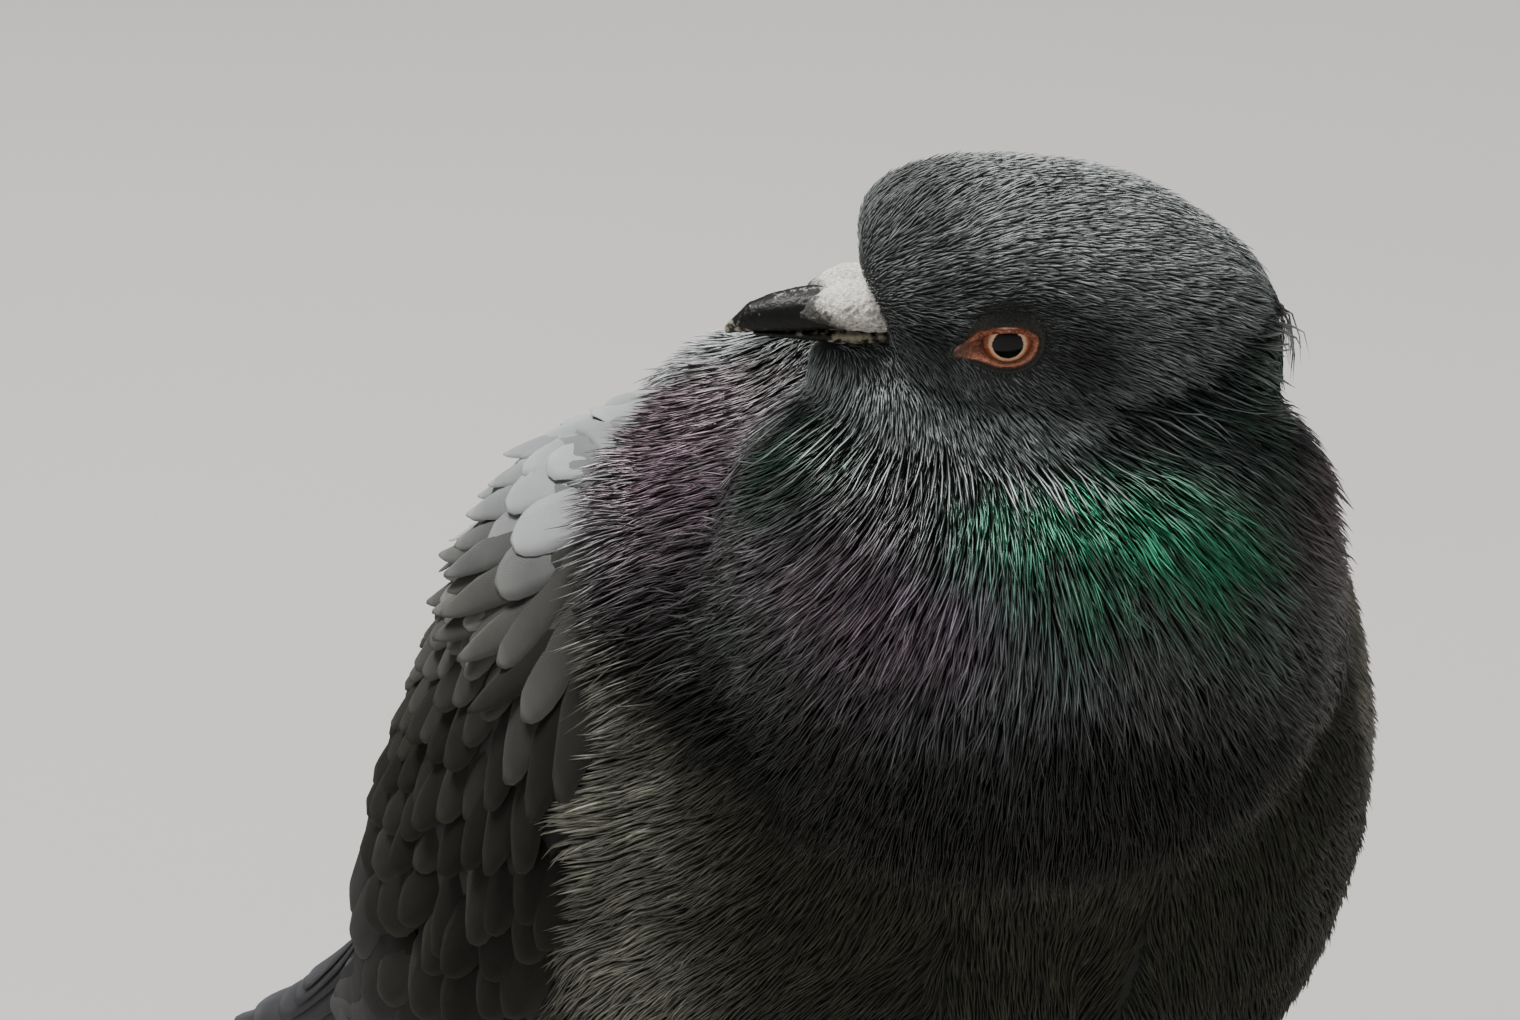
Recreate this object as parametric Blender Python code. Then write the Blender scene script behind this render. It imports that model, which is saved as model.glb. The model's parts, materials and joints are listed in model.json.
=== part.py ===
"""A life-size pigeon standing with puffed neck and head turned over its right shoulder.

The bird faces -Y with +Z up, so its right side is -X. Sizes are in millimetres and become metres
when a mesh is made. The trunk is lofted along an arc, the wings are shells laid on the same arc, and the
head is built in a frame of its own that is turned, rolled and set on the neck.
"""

import math

import bmesh
import bpy
from mathutils import Matrix, Vector

MM = 0.001
GAP = 0.3  # clearance between neighbouring solids

# ---- driving sizes -------------------------------------------------------------------------------
TRUNK_HEIGHT = 104.0  # middle of the trunk above the floor
SPINE_SLOPE = math.radians(42)  # fall of the back at the middle of the trunk
SPINE_RADIUS = 230.0  # the spine is an arc that levels out towards the tail
TAIL_START = 98.0  # distance along the spine where the arc ends and the straight tail begins

HEAD_CENTRE = Vector((-8.5, -54.0, 183.0))
HEAD_TURN = math.radians(116)  # from straight ahead towards the bird's right
HEAD_ROLL = math.radians(14)  # crown leaning towards its left cheek's side
EYE_RADIUS = 5.0
EYE_PLACE = (5.8, 9.6, 1.7)  # forward, sideways and up from the middle of the head
SOCKET_RADIUS = 9.0
SOCKET_SETBACK = 21.6  # sideways place of the ball that dishes the cheek round the eye

FOOT_SPREAD = 22.0  # each foot's distance from the middle line
FOOT_BACK = 2.0  # place of the toes' meeting point along Y
ANKLE_HEIGHT = 33.0

# Each row: along the spine, half width, reach to the back, reach to the belly.
TRUNK = (
    (-80, 5, 5, 5),
    (-76, 16, 18, 17),
    (-68, 29.5, 31, 30),
    (-50, 43.5, 49.5, 43),
    (-25, 52.5, 58, 51),
    (0, 54.5, 55, 53),
    (30, 53, 47, 51),
    (60, 44, 35, 39),
    (84, 30, 21, 24),
    (98, 20, 12, 13.5),
)

# Each row: height, reach towards the throat, reach towards the nape, reach to each side.
NECK = (
    (102, 26, 28, 29),
    (114, 34, 34, 36),
    (128, 38.5, 38, 39),
    (142, 40, 39.5, 39.5),
    (156, 39, 37.5, 36),
    (165, 35.5, 33, 27),
    (171, 30.5, 27, 17),
    (175, 25, 20, 10),
    (178, 18, 14, 6),
)
NECK_FOOT = Vector((-4.0, -32.0, 102.0))
NECK_TOP = Vector((-7.5, -50.0, 178.0))

# Each row: forward from the middle of the head, half width, top and underside.
HEAD = (
    (-27.6, 3, -2, -9),
    (-25.4, 8, 4.5, -14),
    (-20, 12, 9.6, -18),
    (-11, 14.7, 15.4, -20),
    (0, 15.2, 18.3, -19),
    (8, 14.6, 18.9, -17),
    (15, 13.2, 18.4, -13),
    (19.5, 11.0, 16.8, -6.5),
    (22.3, 8.2, 14.8, 0.5),
    (24.0, 5.0, 12.2, 4.6),
)
CHIN = (
    (2, 12, -6, -24),
    (13, 11, -5.2, -22),
    (21, 8.4, -3.8, -18.5),
    (26.5, 5.6, -4.4, -14.2),
    (29.4, 2.6, -5.9, -11),
)

# Each row: forward from the middle of the head, half width, top and underside.
UPPER_BILL = (
    (17, 5.0, 2.2, -1.9),
    (23, 4.7, 2.3, -2.4),
    (28, 4.1, 1.9, -2.8),
    (33, 3.2, 1.1, -3.2),
    (36.4, 2.2, -0.1, -3.5),
    (38.6, 1.2, -1.8, -3.9),
    (39.6, 0.45, -3.2, -4.3),
)
LOWER_BILL = (
    (17, 4.6, -2.4, -5.4),
    (23, 4.2, -2.8, -5.3),
    (28, 3.3, -3.2, -5.0),
    (33, 2.2, -3.6, -4.7),
    (36.2, 1.2, -3.9, -4.6),
)
CERE_PLACE = (22.6, 2.4, 0.8)
CERE_SIZE = (8.2, 3.4, 2.8)
CERE_RISE = 5  # degrees that the lobes rise towards the tip

# Each row: along the spine, half width and reach to the back of the surface that the wings lie on.
WING_BED = (
    (-76, 16, 18),
    (-68, 29.5, 31),
    (-50, 43.5, 49.5),
    (-25, 52.5, 58),
    (0, 54.5, 55),
    (30, 53.3, 47.5),
    (60, 46.5, 38),
    (84, 38.5, 27.5),
    (98, 34, 20.5),
    (125, 28, 13.5),
    (150, 22.5, 10),
    (192, 13, 8),
)
# Each row: along the spine, upper edge and lower edge in degrees from the ridge of the back, thickness.
WING = (
    (-41, 56, 72, 2.0),
    (-37, 44, 84, 4.5),
    (-28, 35, 93, 5.5),
    (-10, 28, 101, 5.5),
    (14, 22, 106, 5.5),
    (45, 17, 109, 5.5),
    (75, 15, 108, 4.5),
    (98, 17, 103, 3.4),
    (108, 24, 96, 2.8),
)
PRIMARIES = (
    (108.6, 27, 94, 2.3),
    (125, 27, 93, 2.2),
    (145, 32, 92, 2.0),
    (165, 40, 88, 1.7),
    (180, 50, 82, 1.4),
    (187, 58, 76, 1.1),
)
# Each row: behind the start of the tail, half width, half thickness.
TAIL = (
    (0.4, 19.0, 11.5),
    (14, 18.6, 8.6),
    (30, 18.6, 5.2),
    (50, 19.8, 3.0),
    (78, 22.6, 2.1),
    (98, 24.8, 1.7),
    (106, 23.8, 1.4),
    (110.5, 19.5, 1.2),
    (113, 11.0, 1.0),
)
TAIL_ARCH = 0.012  # sag of the outer tail feathers, per millimetre squared

COLOURS = {
    "body": ((0.115, 0.125, 0.14), 0.75),
    "neck": ((0.045, 0.052, 0.055), 0.5),
    "head": ((0.085, 0.095, 0.105), 0.7),
    "wing": ((0.26, 0.27, 0.28), 0.7),
    "flight": ((0.07, 0.07, 0.075), 0.65),
    "tail": ((0.16, 0.17, 0.19), 0.7),
    "eye": ((0.75, 0.25, 0.06), 0.1),
    "bill": ((0.03, 0.03, 0.032), 0.4),
    "cere": ((0.72, 0.68, 0.62), 0.85),
    "leg": ((0.55, 0.13, 0.11), 0.55),
    "claw": ((0.04, 0.035, 0.03), 0.45),
}


# ---- helpers -------------------------------------------------------------------------------------
def smooth(table, at):
    """The table's values at a place between its rows, on a curve through the rows."""
    at = min(max(at, table[0][0]), table[-1][0])
    i = 0
    while i < len(table) - 2 and at > table[i + 1][0]:
        i += 1
    before, here, there, after = (table[min(max(i + k, 0), len(table) - 1)] for k in (-1, 0, 1, 2))
    span = there[0] - here[0]
    t = (at - here[0]) / span
    values = []
    for k in range(1, len(here)):
        rise_here = (there[k] - before[k]) / (there[0] - before[0]) * span
        rise_there = (after[k] - here[k]) / (after[0] - here[0]) * span
        values.append(
            (2 * t**3 - 3 * t**2 + 1) * here[k]
            + (t**3 - 2 * t**2 + t) * rise_here
            + (3 * t**2 - 2 * t**3) * there[k]
            + (t**3 - t**2) * rise_there
        )
    return values


def between(low, high, count):
    """Evenly spaced places from low to high."""
    return [low + (high - low) * i / (count - 1) for i in range(count)]


def eased(low, high, count):
    """Places from low to high that crowd together towards both ends."""
    return [low + (high - low) * (0.5 - 0.5 * math.cos(math.pi * t)) for t in between(0, 1, count)]


def power(value, exponent):
    return math.copysign(abs(value) ** exponent, value)


def material(kind):
    found = bpy.data.materials.get(kind)
    if found:
        return found
    colour, roughness = COLOURS[kind]
    made = bpy.data.materials.new(kind)
    made.use_nodes = True
    shader = made.node_tree.nodes["Principled BSDF"]
    shader.inputs["Base Color"].default_value = (*colour, 1)
    shader.inputs["Roughness"].default_value = roughness
    shader.inputs["Metallic"].default_value = 0
    made.diffuse_color = (*colour, 1)
    return made


def add_object(name, bm, kind, place=None):
    """A named object from a closed mesh in millimetres, placed by a matrix of its own."""
    bmesh.ops.remove_doubles(bm, verts=bm.verts, dist=1e-4)
    bmesh.ops.recalc_face_normals(bm, faces=bm.faces)
    bmesh.ops.scale(bm, vec=(MM, MM, MM), verts=bm.verts)
    mesh = bpy.data.meshes.new(name)
    bm.to_mesh(mesh)
    bm.free()
    mesh.shade_smooth()
    mesh.set_sharp_from_angle(angle=math.radians(50))
    mesh.materials.append(material(kind))
    made = bpy.data.objects.new(name, mesh)
    bpy.context.scene.collection.objects.link(made)
    if place:
        made.matrix_world = place
    return made


def loft(name, rings, kind, place=None):
    """A closed solid through rings of points, each ring with the same number of points."""
    bm = bmesh.new()
    loops = [[bm.verts.new(p) for p in ring] for ring in rings]
    count = len(loops[0])
    for low, high in zip(loops, loops[1:]):
        for i in range(count):
            j = (i + 1) % count
            bm.faces.new((low[i], low[j], high[j], high[i]))
    bm.faces.new(loops[0])
    bm.faces.new(loops[-1])
    return add_object(name, bm, kind, place)


def apply_modifiers(obj):
    """Replaces the mesh by what its modifiers make of it."""
    graph = bpy.context.evaluated_depsgraph_get()
    made = bpy.data.meshes.new_from_object(obj.evaluated_get(graph))
    obj.modifiers.clear()
    obj.data = made


def copy_of(obj, name, grow=0.0):
    """A helper copy of an object in world space, its surface moved outwards by grow millimetres."""
    bm = bmesh.new()
    bm.from_mesh(obj.data)
    bmesh.ops.transform(bm, matrix=obj.matrix_world, verts=bm.verts)
    bm.normal_update()
    for vert in bm.verts:
        vert.co += vert.normal * grow * MM * vert.calc_shell_factor()
    mesh = bpy.data.meshes.new(name)
    bm.to_mesh(mesh)
    bm.free()
    helper = bpy.data.objects.new(name, mesh)
    bpy.context.scene.collection.objects.link(helper)
    helper.hide_render = True
    helper.display_type = "WIRE"
    return helper


def combine(obj, other, operation):
    """Joins another solid to obj, or cuts it away, and keeps the result as obj's mesh."""
    step = obj.modifiers.new(operation.lower(), "BOOLEAN")
    step.operation = operation
    step.solver = "EXACT"
    step.object = other
    bpy.context.view_layer.update()
    apply_modifiers(obj)
    bm = bmesh.new()
    bm.from_mesh(obj.data)
    bmesh.ops.remove_doubles(bm, verts=bm.verts, dist=0.005 * MM)
    bmesh.ops.dissolve_degenerate(bm, edges=bm.edges, dist=0.005 * MM)
    bm.to_mesh(obj.data)
    bm.free()


def make_room(obj, *neighbours, gap=GAP + 0.15):
    """Cuts each neighbour, with clearance, out of obj."""
    for neighbour in neighbours:
        cutter = copy_of(neighbour, "room_for_" + neighbour.name, gap)
        combine(obj, cutter, "DIFFERENCE")
        bpy.data.objects.remove(cutter)


def close_cut(bm, point, normal):
    """Keeps the positive side of a plane and closes the solid there."""
    cut = bmesh.ops.bisect_plane(
        bm, geom=bm.verts[:] + bm.edges[:] + bm.faces[:], plane_co=point, plane_no=normal, clear_inner=True
    )
    edges = [item for item in cut["geom_cut"] if isinstance(item, bmesh.types.BMEdge)]
    bmesh.ops.contextual_create(bm, geom=edges)


def part_of(whole, name, kind, point, normal):
    """The piece of a solid on the positive side of a plane."""
    bm = bmesh.new()
    bm.from_mesh(whole.data)
    bmesh.ops.scale(bm, vec=(1 / MM, 1 / MM, 1 / MM), verts=bm.verts)
    close_cut(bm, point + normal * GAP / 2, normal)
    return add_object(name, bm, kind)


# ---- trunk, wings and tail -----------------------------------------------------------------------
def spine(along):
    """Place, backward direction and upward direction at a distance along the spine."""
    on_arc = min(along, TAIL_START)
    slope = SPINE_SLOPE - on_arc / SPINE_RADIUS
    back = Vector((0, math.cos(slope), -math.sin(slope)))
    up = Vector((0, math.sin(slope), math.cos(slope)))
    place = Vector(
        (
            0,
            SPINE_RADIUS * (math.sin(SPINE_SLOPE) - math.sin(slope)),
            TRUNK_HEIGHT - SPINE_RADIUS * (math.cos(slope) - math.cos(SPINE_SLOPE)),
        )
    )
    return place + back * (along - on_arc), back, up


def section_point(along, angle, half_width, to_back, to_belly):
    """A point of the body's cross-section, angle from the ridge of the back towards +X."""
    place, _, up = spine(along)
    square = 0.84 if math.cos(angle) > 0 else 0.94
    reach = to_back if math.cos(angle) > 0 else to_belly
    across = power(math.sin(angle), square) * half_width
    return place + Vector((across, 0, 0)) + up * power(math.cos(angle), square) * reach


def make_trunk():
    rings = []
    for along in eased(TRUNK[0][0], TRUNK[-1][0], 20):
        sizes = smooth(TRUNK, along)
        rings.append([section_point(along, 2 * math.pi * i / 32, *sizes) for i in range(32)])
    return loft("trunk_form", rings, "body")


def bed_point(along, angle, lift):
    """A point lifted off the surface that the folded wings lie on."""
    half_width, to_back = smooth(WING_BED, along)
    return section_point(along, angle, half_width + lift, to_back + lift, to_back + 4 + lift)


def make_wing_shell(name, table, side, stations, across, kind):
    """A folded wing, or its flight feathers, as a shell that is thin at its edges."""
    rings = []
    for along in between(table[0][0], table[-1][0], stations):
        upper, lower, thickness = smooth(table, along)
        under, over = [], []
        for v in between(0, 1, across):
            angle = math.radians(upper + (lower - upper) * v)
            crown = (1 - abs(2 * v - 1) ** 3) * thickness + 0.6
            under.append(bed_point(along, side * angle, 0.9))
            over.append(bed_point(along, side * angle, 0.9 + crown))
        rings.append(under + over[::-1])
    return loft(name, rings, kind)


def make_tail():
    rings = []
    for behind in [row[0] for row in TAIL] + [6, 40, 64, 90]:
        half_width, half_thick = smooth(TAIL, behind)
        place, _, up = spine(TAIL_START + behind)
        ring = []
        for i in range(20):
            angle = 2 * math.pi * i / 20
            across = power(math.sin(angle), 0.9) * half_width
            rise = power(math.cos(angle), 0.8) * half_thick - TAIL_ARCH * across**2
            ring.append(place + Vector((across, 0, 0)) + up * rise)
        rings.append((behind, ring))
    return loft("tail", [ring for _, ring in sorted(rings, key=lambda row: row[0])], "tail")


# ---- neck and head -------------------------------------------------------------------------------
def head_frame():
    """The head's place: X forward along the bill, Y to its left, Z up."""
    turn = Matrix.Rotation(-math.pi / 2 - HEAD_TURN, 4, "Z")
    roll = Matrix.Rotation(-HEAD_ROLL, 4, "X")
    return Matrix.Translation(HEAD_CENTRE * MM) @ turn @ roll


def make_neck():
    turn = Matrix.Rotation(-math.pi / 2 - HEAD_TURN, 3, "Z")
    rings = []
    for height in between(NECK[0][0], NECK[-1][0], 13):
        to_throat, to_nape, to_side = smooth(NECK, height)
        t = (height - NECK_FOOT.z) / (NECK_TOP.z - NECK_FOOT.z)
        centre = NECK_FOOT.lerp(NECK_TOP, math.sin(t * math.pi / 2))
        centre.z = height
        ring = []
        for i in range(28):
            angle = 2 * math.pi * i / 28
            reach = to_throat if math.cos(angle) > 0 else to_nape
            ring.append(centre + turn @ Vector((math.cos(angle) * reach, math.sin(angle) * to_side, 0)))
        rings.append(ring)
    return loft("neck_form", rings, "neck")


def make_head_form(name, table, stations):
    rings = []
    for forward in eased(table[0][0], table[-1][0], stations):
        half_width, top, bottom = smooth(table, forward)
        middle, half_height = (top + bottom) / 2, (top - bottom) / 2
        ring = []
        for i in range(24):
            angle = 2 * math.pi * i / 24
            across = power(math.cos(angle), 0.92) * half_width
            ring.append(Vector((forward, across, middle + math.sin(angle) * half_height)))
        rings.append(ring)
    return loft(name, rings, "head", head_frame())


def make_bill(name, table, ridge):
    """Half of the bill. ridge is how far its section narrows towards the top (1) or the underside (-1)."""
    rings = []
    for forward in between(table[0][0], table[-1][0], 9):
        half_width, top, bottom = smooth(table, forward)
        middle, half_height = (top + bottom) / 2, (top - bottom) / 2
        ring = []
        for i in range(12):
            angle = 2 * math.pi * i / 12
            narrowing = 1 - 0.35 * (1 + ridge * math.sin(angle)) / 2
            across = power(math.cos(angle), 0.7) * half_width * narrowing
            ring.append(Vector((forward, across, middle + power(math.sin(angle), 0.7) * half_height)))
        rings.append(ring)
    return loft(name, rings, "bill", head_frame())


def make_cere(name, side, grow=0.0):
    """One lobe of the swollen skin over a nostril, flat where it meets the other lobe."""
    bm = bmesh.new()
    bmesh.ops.create_uvsphere(bm, u_segments=14, v_segments=9, radius=1)
    bmesh.ops.scale(bm, vec=[reach + grow for reach in CERE_SIZE], verts=bm.verts)
    forward, sideways, up = CERE_PLACE
    lean = Matrix.Rotation(math.radians(-CERE_RISE), 3, "Y")
    bmesh.ops.rotate(bm, cent=(0, 0, 0), matrix=lean, verts=bm.verts)
    bmesh.ops.translate(bm, vec=(forward, side * sideways, up), verts=bm.verts)
    close_cut(bm, Vector((0, side * (GAP / 2 - grow), 0)), Vector((0, side, 0)))
    return add_object(name, bm, "cere", head_frame())


def make_ball(name, radius, place, kind, rounds=12):
    """A ball in the head's frame, its poles facing sideways."""
    bm = bmesh.new()
    bmesh.ops.create_uvsphere(bm, u_segments=rounds, v_segments=rounds * 2 // 3, radius=radius)
    lean = Matrix.Rotation(math.radians(93), 3, Vector((1, 0.1, 0.05)))
    bmesh.ops.rotate(bm, cent=(0, 0, 0), matrix=lean, verts=bm.verts)
    return add_object(name, bm, kind, head_frame() @ Matrix.Translation(Vector(place) * MM))


# ---- legs ----------------------------------------------------------------------------------------
TOES = {
    # heading from straight ahead, length, radius at the root
    "inner": (-28, 21, 2.5),
    "middle": (0, 27, 2.7),
    "outer": (31, 21, 2.5),
    "hind": (176, 13, 2.2),
}
TOE_TIP_RADIUS = 1.65
CLAW_LENGTH = 6.5
CLAW_RADIUS = 1.25


def toe_frame(side, heading):
    """Meeting point of the toes and the direction that a toe points in."""
    turn = math.radians(-side * heading)
    ahead = Vector((math.sin(-turn), -math.cos(turn), 0))
    return Vector((side * FOOT_SPREAD, FOOT_BACK, 0)), ahead


def make_toe(side, toe):
    """A toe with swollen pads under its joints, flat where it rests on the floor."""
    heading, length, root = TOES[toe]
    start, ahead = toe_frame(side, heading)
    across = Vector((-ahead.y, ahead.x, 0))
    rings = []
    for t in between(0, 1, 10):
        taper = root + (TOE_TIP_RADIUS - root) * t
        radius = taper * (1 + 0.13 * math.cos(t * 3 * 2 * math.pi))
        if t == 1:
            radius = taper * 0.8
        lift = radius * 0.86
        centre = start + ahead * (length * t) + Vector((0, 0, lift))
        ring = []
        for i in range(8):
            angle = 2 * math.pi * i / 8 + math.pi / 8
            point = centre + across * (math.cos(angle) * radius) + Vector((0, 0, math.sin(angle) * radius))
            point.z = max(point.z, 0)
            ring.append(point)
        rings.append(ring)
    return loft(f"toe_{toe}", rings, "leg")


def make_claw(side, side_name, toe):
    """A claw that curves down from the tip of a toe."""
    heading, length, _ = TOES[toe]
    start, ahead = toe_frame(side, heading)
    across = Vector((-ahead.y, ahead.x, 0))
    root = start + ahead * (length + GAP) + Vector((0, 0, TOE_TIP_RADIUS * 0.86))
    rings = []
    for t in between(0, 1, 5):
        bend = math.radians(12 + 42 * t)
        radius = CLAW_RADIUS * (1 - t) ** 0.8 + 0.28 * t
        reach = CLAW_LENGTH * t
        centre = root + ahead * (reach * (1 - 0.12 * t)) + Vector((0, 0, 0.6 * math.sin(math.pi * t) - 1.05 * t))
        normal = Vector((0, 0, math.cos(bend))) + ahead * math.sin(bend) * 0.5
        ring = []
        for i in range(8):
            angle = 2 * math.pi * i / 8
            point = centre + across * (math.cos(angle) * radius * 0.8)
            point += normal.normalized() * (math.sin(angle) * radius)
            point.z = max(point.z, 0)
            if t == 0:
                point = root + across * (math.cos(angle) * radius * 0.8)
                point += Vector((0, 0, math.sin(angle) * radius))
            ring.append(point)
        rings.append(ring)
    return loft(f"claw_{side_name}_{toe}", rings, "claw")


def make_leg(side, side_name):
    """The bare shank joined to its four toes."""
    foot = Vector((side * FOOT_SPREAD, FOOT_BACK, 2.0))
    ankle = Vector((side * (FOOT_SPREAD - 1.5), FOOT_BACK + 8, ANKLE_HEIGHT))
    rings = []
    for t in between(0, 1, 8):
        swell = 0.9 * math.exp(-((t / 0.16) ** 2)) + 0.7 * math.exp(-(((t - 1) / 0.2) ** 2))
        ring = []
        for i in range(12):
            angle = 2 * math.pi * i / 12
            point = foot.lerp(ankle, t)
            point += Vector((math.cos(angle) * (2.1 + swell), math.sin(angle) * (2.5 + swell), 0))
            ring.append(point)
        rings.append(ring)
    leg = loft(f"leg_{side_name}", rings, "leg")
    for toe in TOES:
        piece = make_toe(side, toe)
        combine(leg, piece, "UNION")
        bpy.data.objects.remove(piece)
    return leg


def make_thigh(side, side_name, trunk):
    """The feathered cuff of the leg, from the belly down to the ankle."""
    top = Vector((side * (FOOT_SPREAD - 3), FOOT_BACK + 14, 58))
    ankle = Vector((side * (FOOT_SPREAD - 1.5), FOOT_BACK + 8, ANKLE_HEIGHT + GAP))
    rings = []
    for t in between(0, 1, 7):
        radius = 4.4 + 10.5 * math.cos(t * math.pi / 2) ** 0.8
        centre = top.lerp(ankle, t)
        rings.append(
            [
                centre
                + Vector(
                    (
                        math.cos(2 * math.pi * i / 16) * radius * 0.9,
                        math.sin(2 * math.pi * i / 16) * radius * 1.15,
                        0,
                    )
                )
                for i in range(16)
            ]
        )
    thigh = loft(f"thigh_{side_name}", rings, "body")
    make_room(thigh, trunk)
    return thigh


# ---- assembly ------------------------------------------------------------------------------------
def make_body():
    """Trunk, neck and head as one form, parted by thin cuts."""
    whole = make_trunk()
    neck_form = make_neck()
    head = make_head_form("head", HEAD, 16)
    chin = make_head_form("chin", CHIN, 8)
    combine(head, chin, "UNION")
    combine(whole, copy_of(neck_form, "neck_helper"), "UNION")
    collar_place, collar_lean = Vector((0, -74, 124)), Vector((0.3, 0.68, -1)).normalized()
    trunk = part_of(whole, "trunk", "body", collar_place, collar_lean)
    neck = part_of(whole, "neck", "neck", collar_place, -collar_lean)
    make_room(neck, head, gap=0.8)
    for helper in (whole, chin):
        bpy.data.objects.remove(helper)
    return trunk, neck, head, neck_form


def make_face(head):
    """Bill, cere and eyes, and the room for them in the head."""
    upper = make_bill("bill_upper", UPPER_BILL, 1)
    lower = make_bill("bill_lower", LOWER_BILL, -1)
    fitted = [upper, lower]
    for side, side_name in ((1, "left"), (-1, "right")):
        lobe = make_cere(f"cere_{side_name}", side)
        make_room(lobe, upper, lower)
        room = make_cere(f"room_for_cere_{side_name}", side, GAP + 0.15)
        combine(head, room, "DIFFERENCE")
        bpy.data.objects.remove(room)
        forward, sideways, up = EYE_PLACE
        eye = make_ball(f"eye_{side_name}", EYE_RADIUS, (forward, side * sideways, up), "eye")
        fitted.append(eye)
        dish = make_ball("dish", SOCKET_RADIUS, (forward, side * SOCKET_SETBACK, up), "head")
        combine(head, dish, "DIFFERENCE")
        bpy.data.objects.remove(dish)
    make_room(head, *fitted)


def stand_at_origin():
    """Hangs everything on one empty, with the middle of the bird's box over the origin."""
    bpy.context.view_layer.update()
    solids = [obj for obj in bpy.data.objects if obj.type == "MESH" and not obj.hide_render]
    corners = [obj.matrix_world @ vert.co for obj in solids for vert in obj.data.vertices]
    low = Vector(min(p[k] for p in corners) for k in range(3))
    high = Vector(max(p[k] for p in corners) for k in range(3))
    root = bpy.data.objects.new("pigeon", None)
    bpy.context.scene.collection.objects.link(root)
    for obj in solids:
        obj.parent = root
    root.location = (-(low.x + high.x) / 2, -(low.y + high.y) / 2, -low.z)


def main():
    for obj in list(bpy.data.objects):
        bpy.data.objects.remove(obj)
    trunk, neck, head, neck_form = make_body()
    make_face(head)
    make_tail()
    for side, side_name in ((1, "left"), (-1, "right")):
        wing = make_wing_shell(f"wing_{side_name}", WING, side, 17, 8, "wing")
        make_room(wing, neck_form, gap=1.0)
        make_wing_shell(f"primaries_{side_name}", PRIMARIES, side, 8, 6, "flight")
        make_leg(side, side_name)
        make_thigh(side, side_name, trunk)
        for toe in TOES:
            make_claw(side, side_name, toe)
    for helper in [obj for obj in bpy.data.objects if obj.hide_render or obj == neck_form]:
        bpy.data.objects.remove(helper)
    stand_at_origin()


main()
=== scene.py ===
import json
import math

import bpy
import numpy as np
from mathutils import Matrix, Vector, noise
from mathutils.bvhtree import BVHTree
from mathutils.kdtree import KDTree

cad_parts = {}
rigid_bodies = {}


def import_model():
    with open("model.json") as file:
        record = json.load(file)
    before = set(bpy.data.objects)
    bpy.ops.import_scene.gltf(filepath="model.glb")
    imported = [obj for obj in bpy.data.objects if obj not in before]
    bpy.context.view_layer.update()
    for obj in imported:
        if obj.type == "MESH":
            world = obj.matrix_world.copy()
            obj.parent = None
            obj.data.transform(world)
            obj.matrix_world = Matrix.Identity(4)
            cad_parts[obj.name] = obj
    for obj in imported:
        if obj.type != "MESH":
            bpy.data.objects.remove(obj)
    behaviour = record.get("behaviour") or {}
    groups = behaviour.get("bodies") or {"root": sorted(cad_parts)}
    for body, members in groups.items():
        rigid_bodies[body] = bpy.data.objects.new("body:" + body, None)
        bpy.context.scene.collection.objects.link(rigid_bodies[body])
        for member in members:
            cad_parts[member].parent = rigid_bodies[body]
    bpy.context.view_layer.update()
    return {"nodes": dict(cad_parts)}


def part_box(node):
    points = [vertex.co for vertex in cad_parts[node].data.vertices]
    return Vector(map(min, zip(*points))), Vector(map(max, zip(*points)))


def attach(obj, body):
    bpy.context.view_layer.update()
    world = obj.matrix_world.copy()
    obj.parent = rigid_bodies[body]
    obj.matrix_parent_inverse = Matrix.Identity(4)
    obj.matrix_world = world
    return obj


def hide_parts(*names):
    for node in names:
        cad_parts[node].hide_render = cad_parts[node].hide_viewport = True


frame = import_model()
mm = 0.001
dice = np.random.default_rng(29)  # every random draw comes from here, in order
sides = ((1, "left"), (-1, "right"))

# where things are: mm, as the solids were drawn; the head's own axes are forward, left and up
head = {
    "turn": math.radians(116),  # over the right shoulder
    "roll": math.radians(14),
    "eye": (5.8, 9.6, 1.7),  # forward, to the side and up from the head's middle
    "drawnAt": (-8.5, -54.0, 183.0),
}
spine = {"height": 104.0, "slope": math.radians(42), "radius": 230.0, "tailStart": 98.0}
# along the spine, half width and reach to the back of what the wings lie on
wingBed = (
    (-76, 16, 18), (-68, 29.5, 31), (-50, 43.5, 49.5), (-25, 52.5, 58), (0, 54.5, 55), (30, 53.3, 47.5),
    (60, 46.5, 38), (84, 38.5, 27.5), (98, 34, 20.5), (125, 28, 13.5), (150, 22.5, 10), (192, 13, 8),
)
# along the spine, upper and lower edge of the folded wing in degrees from the ridge, thickness
wingEdge = (
    (-41, 56, 72, 2.0), (-37, 44, 84, 4.5), (-28, 35, 93, 5.5), (-10, 28, 101, 5.5), (14, 22, 106, 5.5),
    (45, 17, 109, 5.5), (75, 15, 108, 4.5), (98, 17, 103, 3.4), (108, 24, 96, 2.8), (125, 27, 93, 2.2),
    (145, 32, 92, 2.0), (165, 40, 88, 1.7), (190, 60, 76, 1.1),
)


def unit(v):
    return v / np.maximum(np.linalg.norm(v, axis=-1, keepdims=True), 1e-12)


def dot(a, b):
    return np.einsum("ij,ij->i", a, b)


def easeStep(low, high, value):
    t = np.clip((value - low) / (high - low), 0, 1)
    return t * t * (3 - 2 * t)


def signedPower(value, exponent):
    return np.sign(value) * np.abs(value) ** exponent


def middleOf(node):
    low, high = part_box(node)
    return np.array((low + high) / 2)


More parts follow.
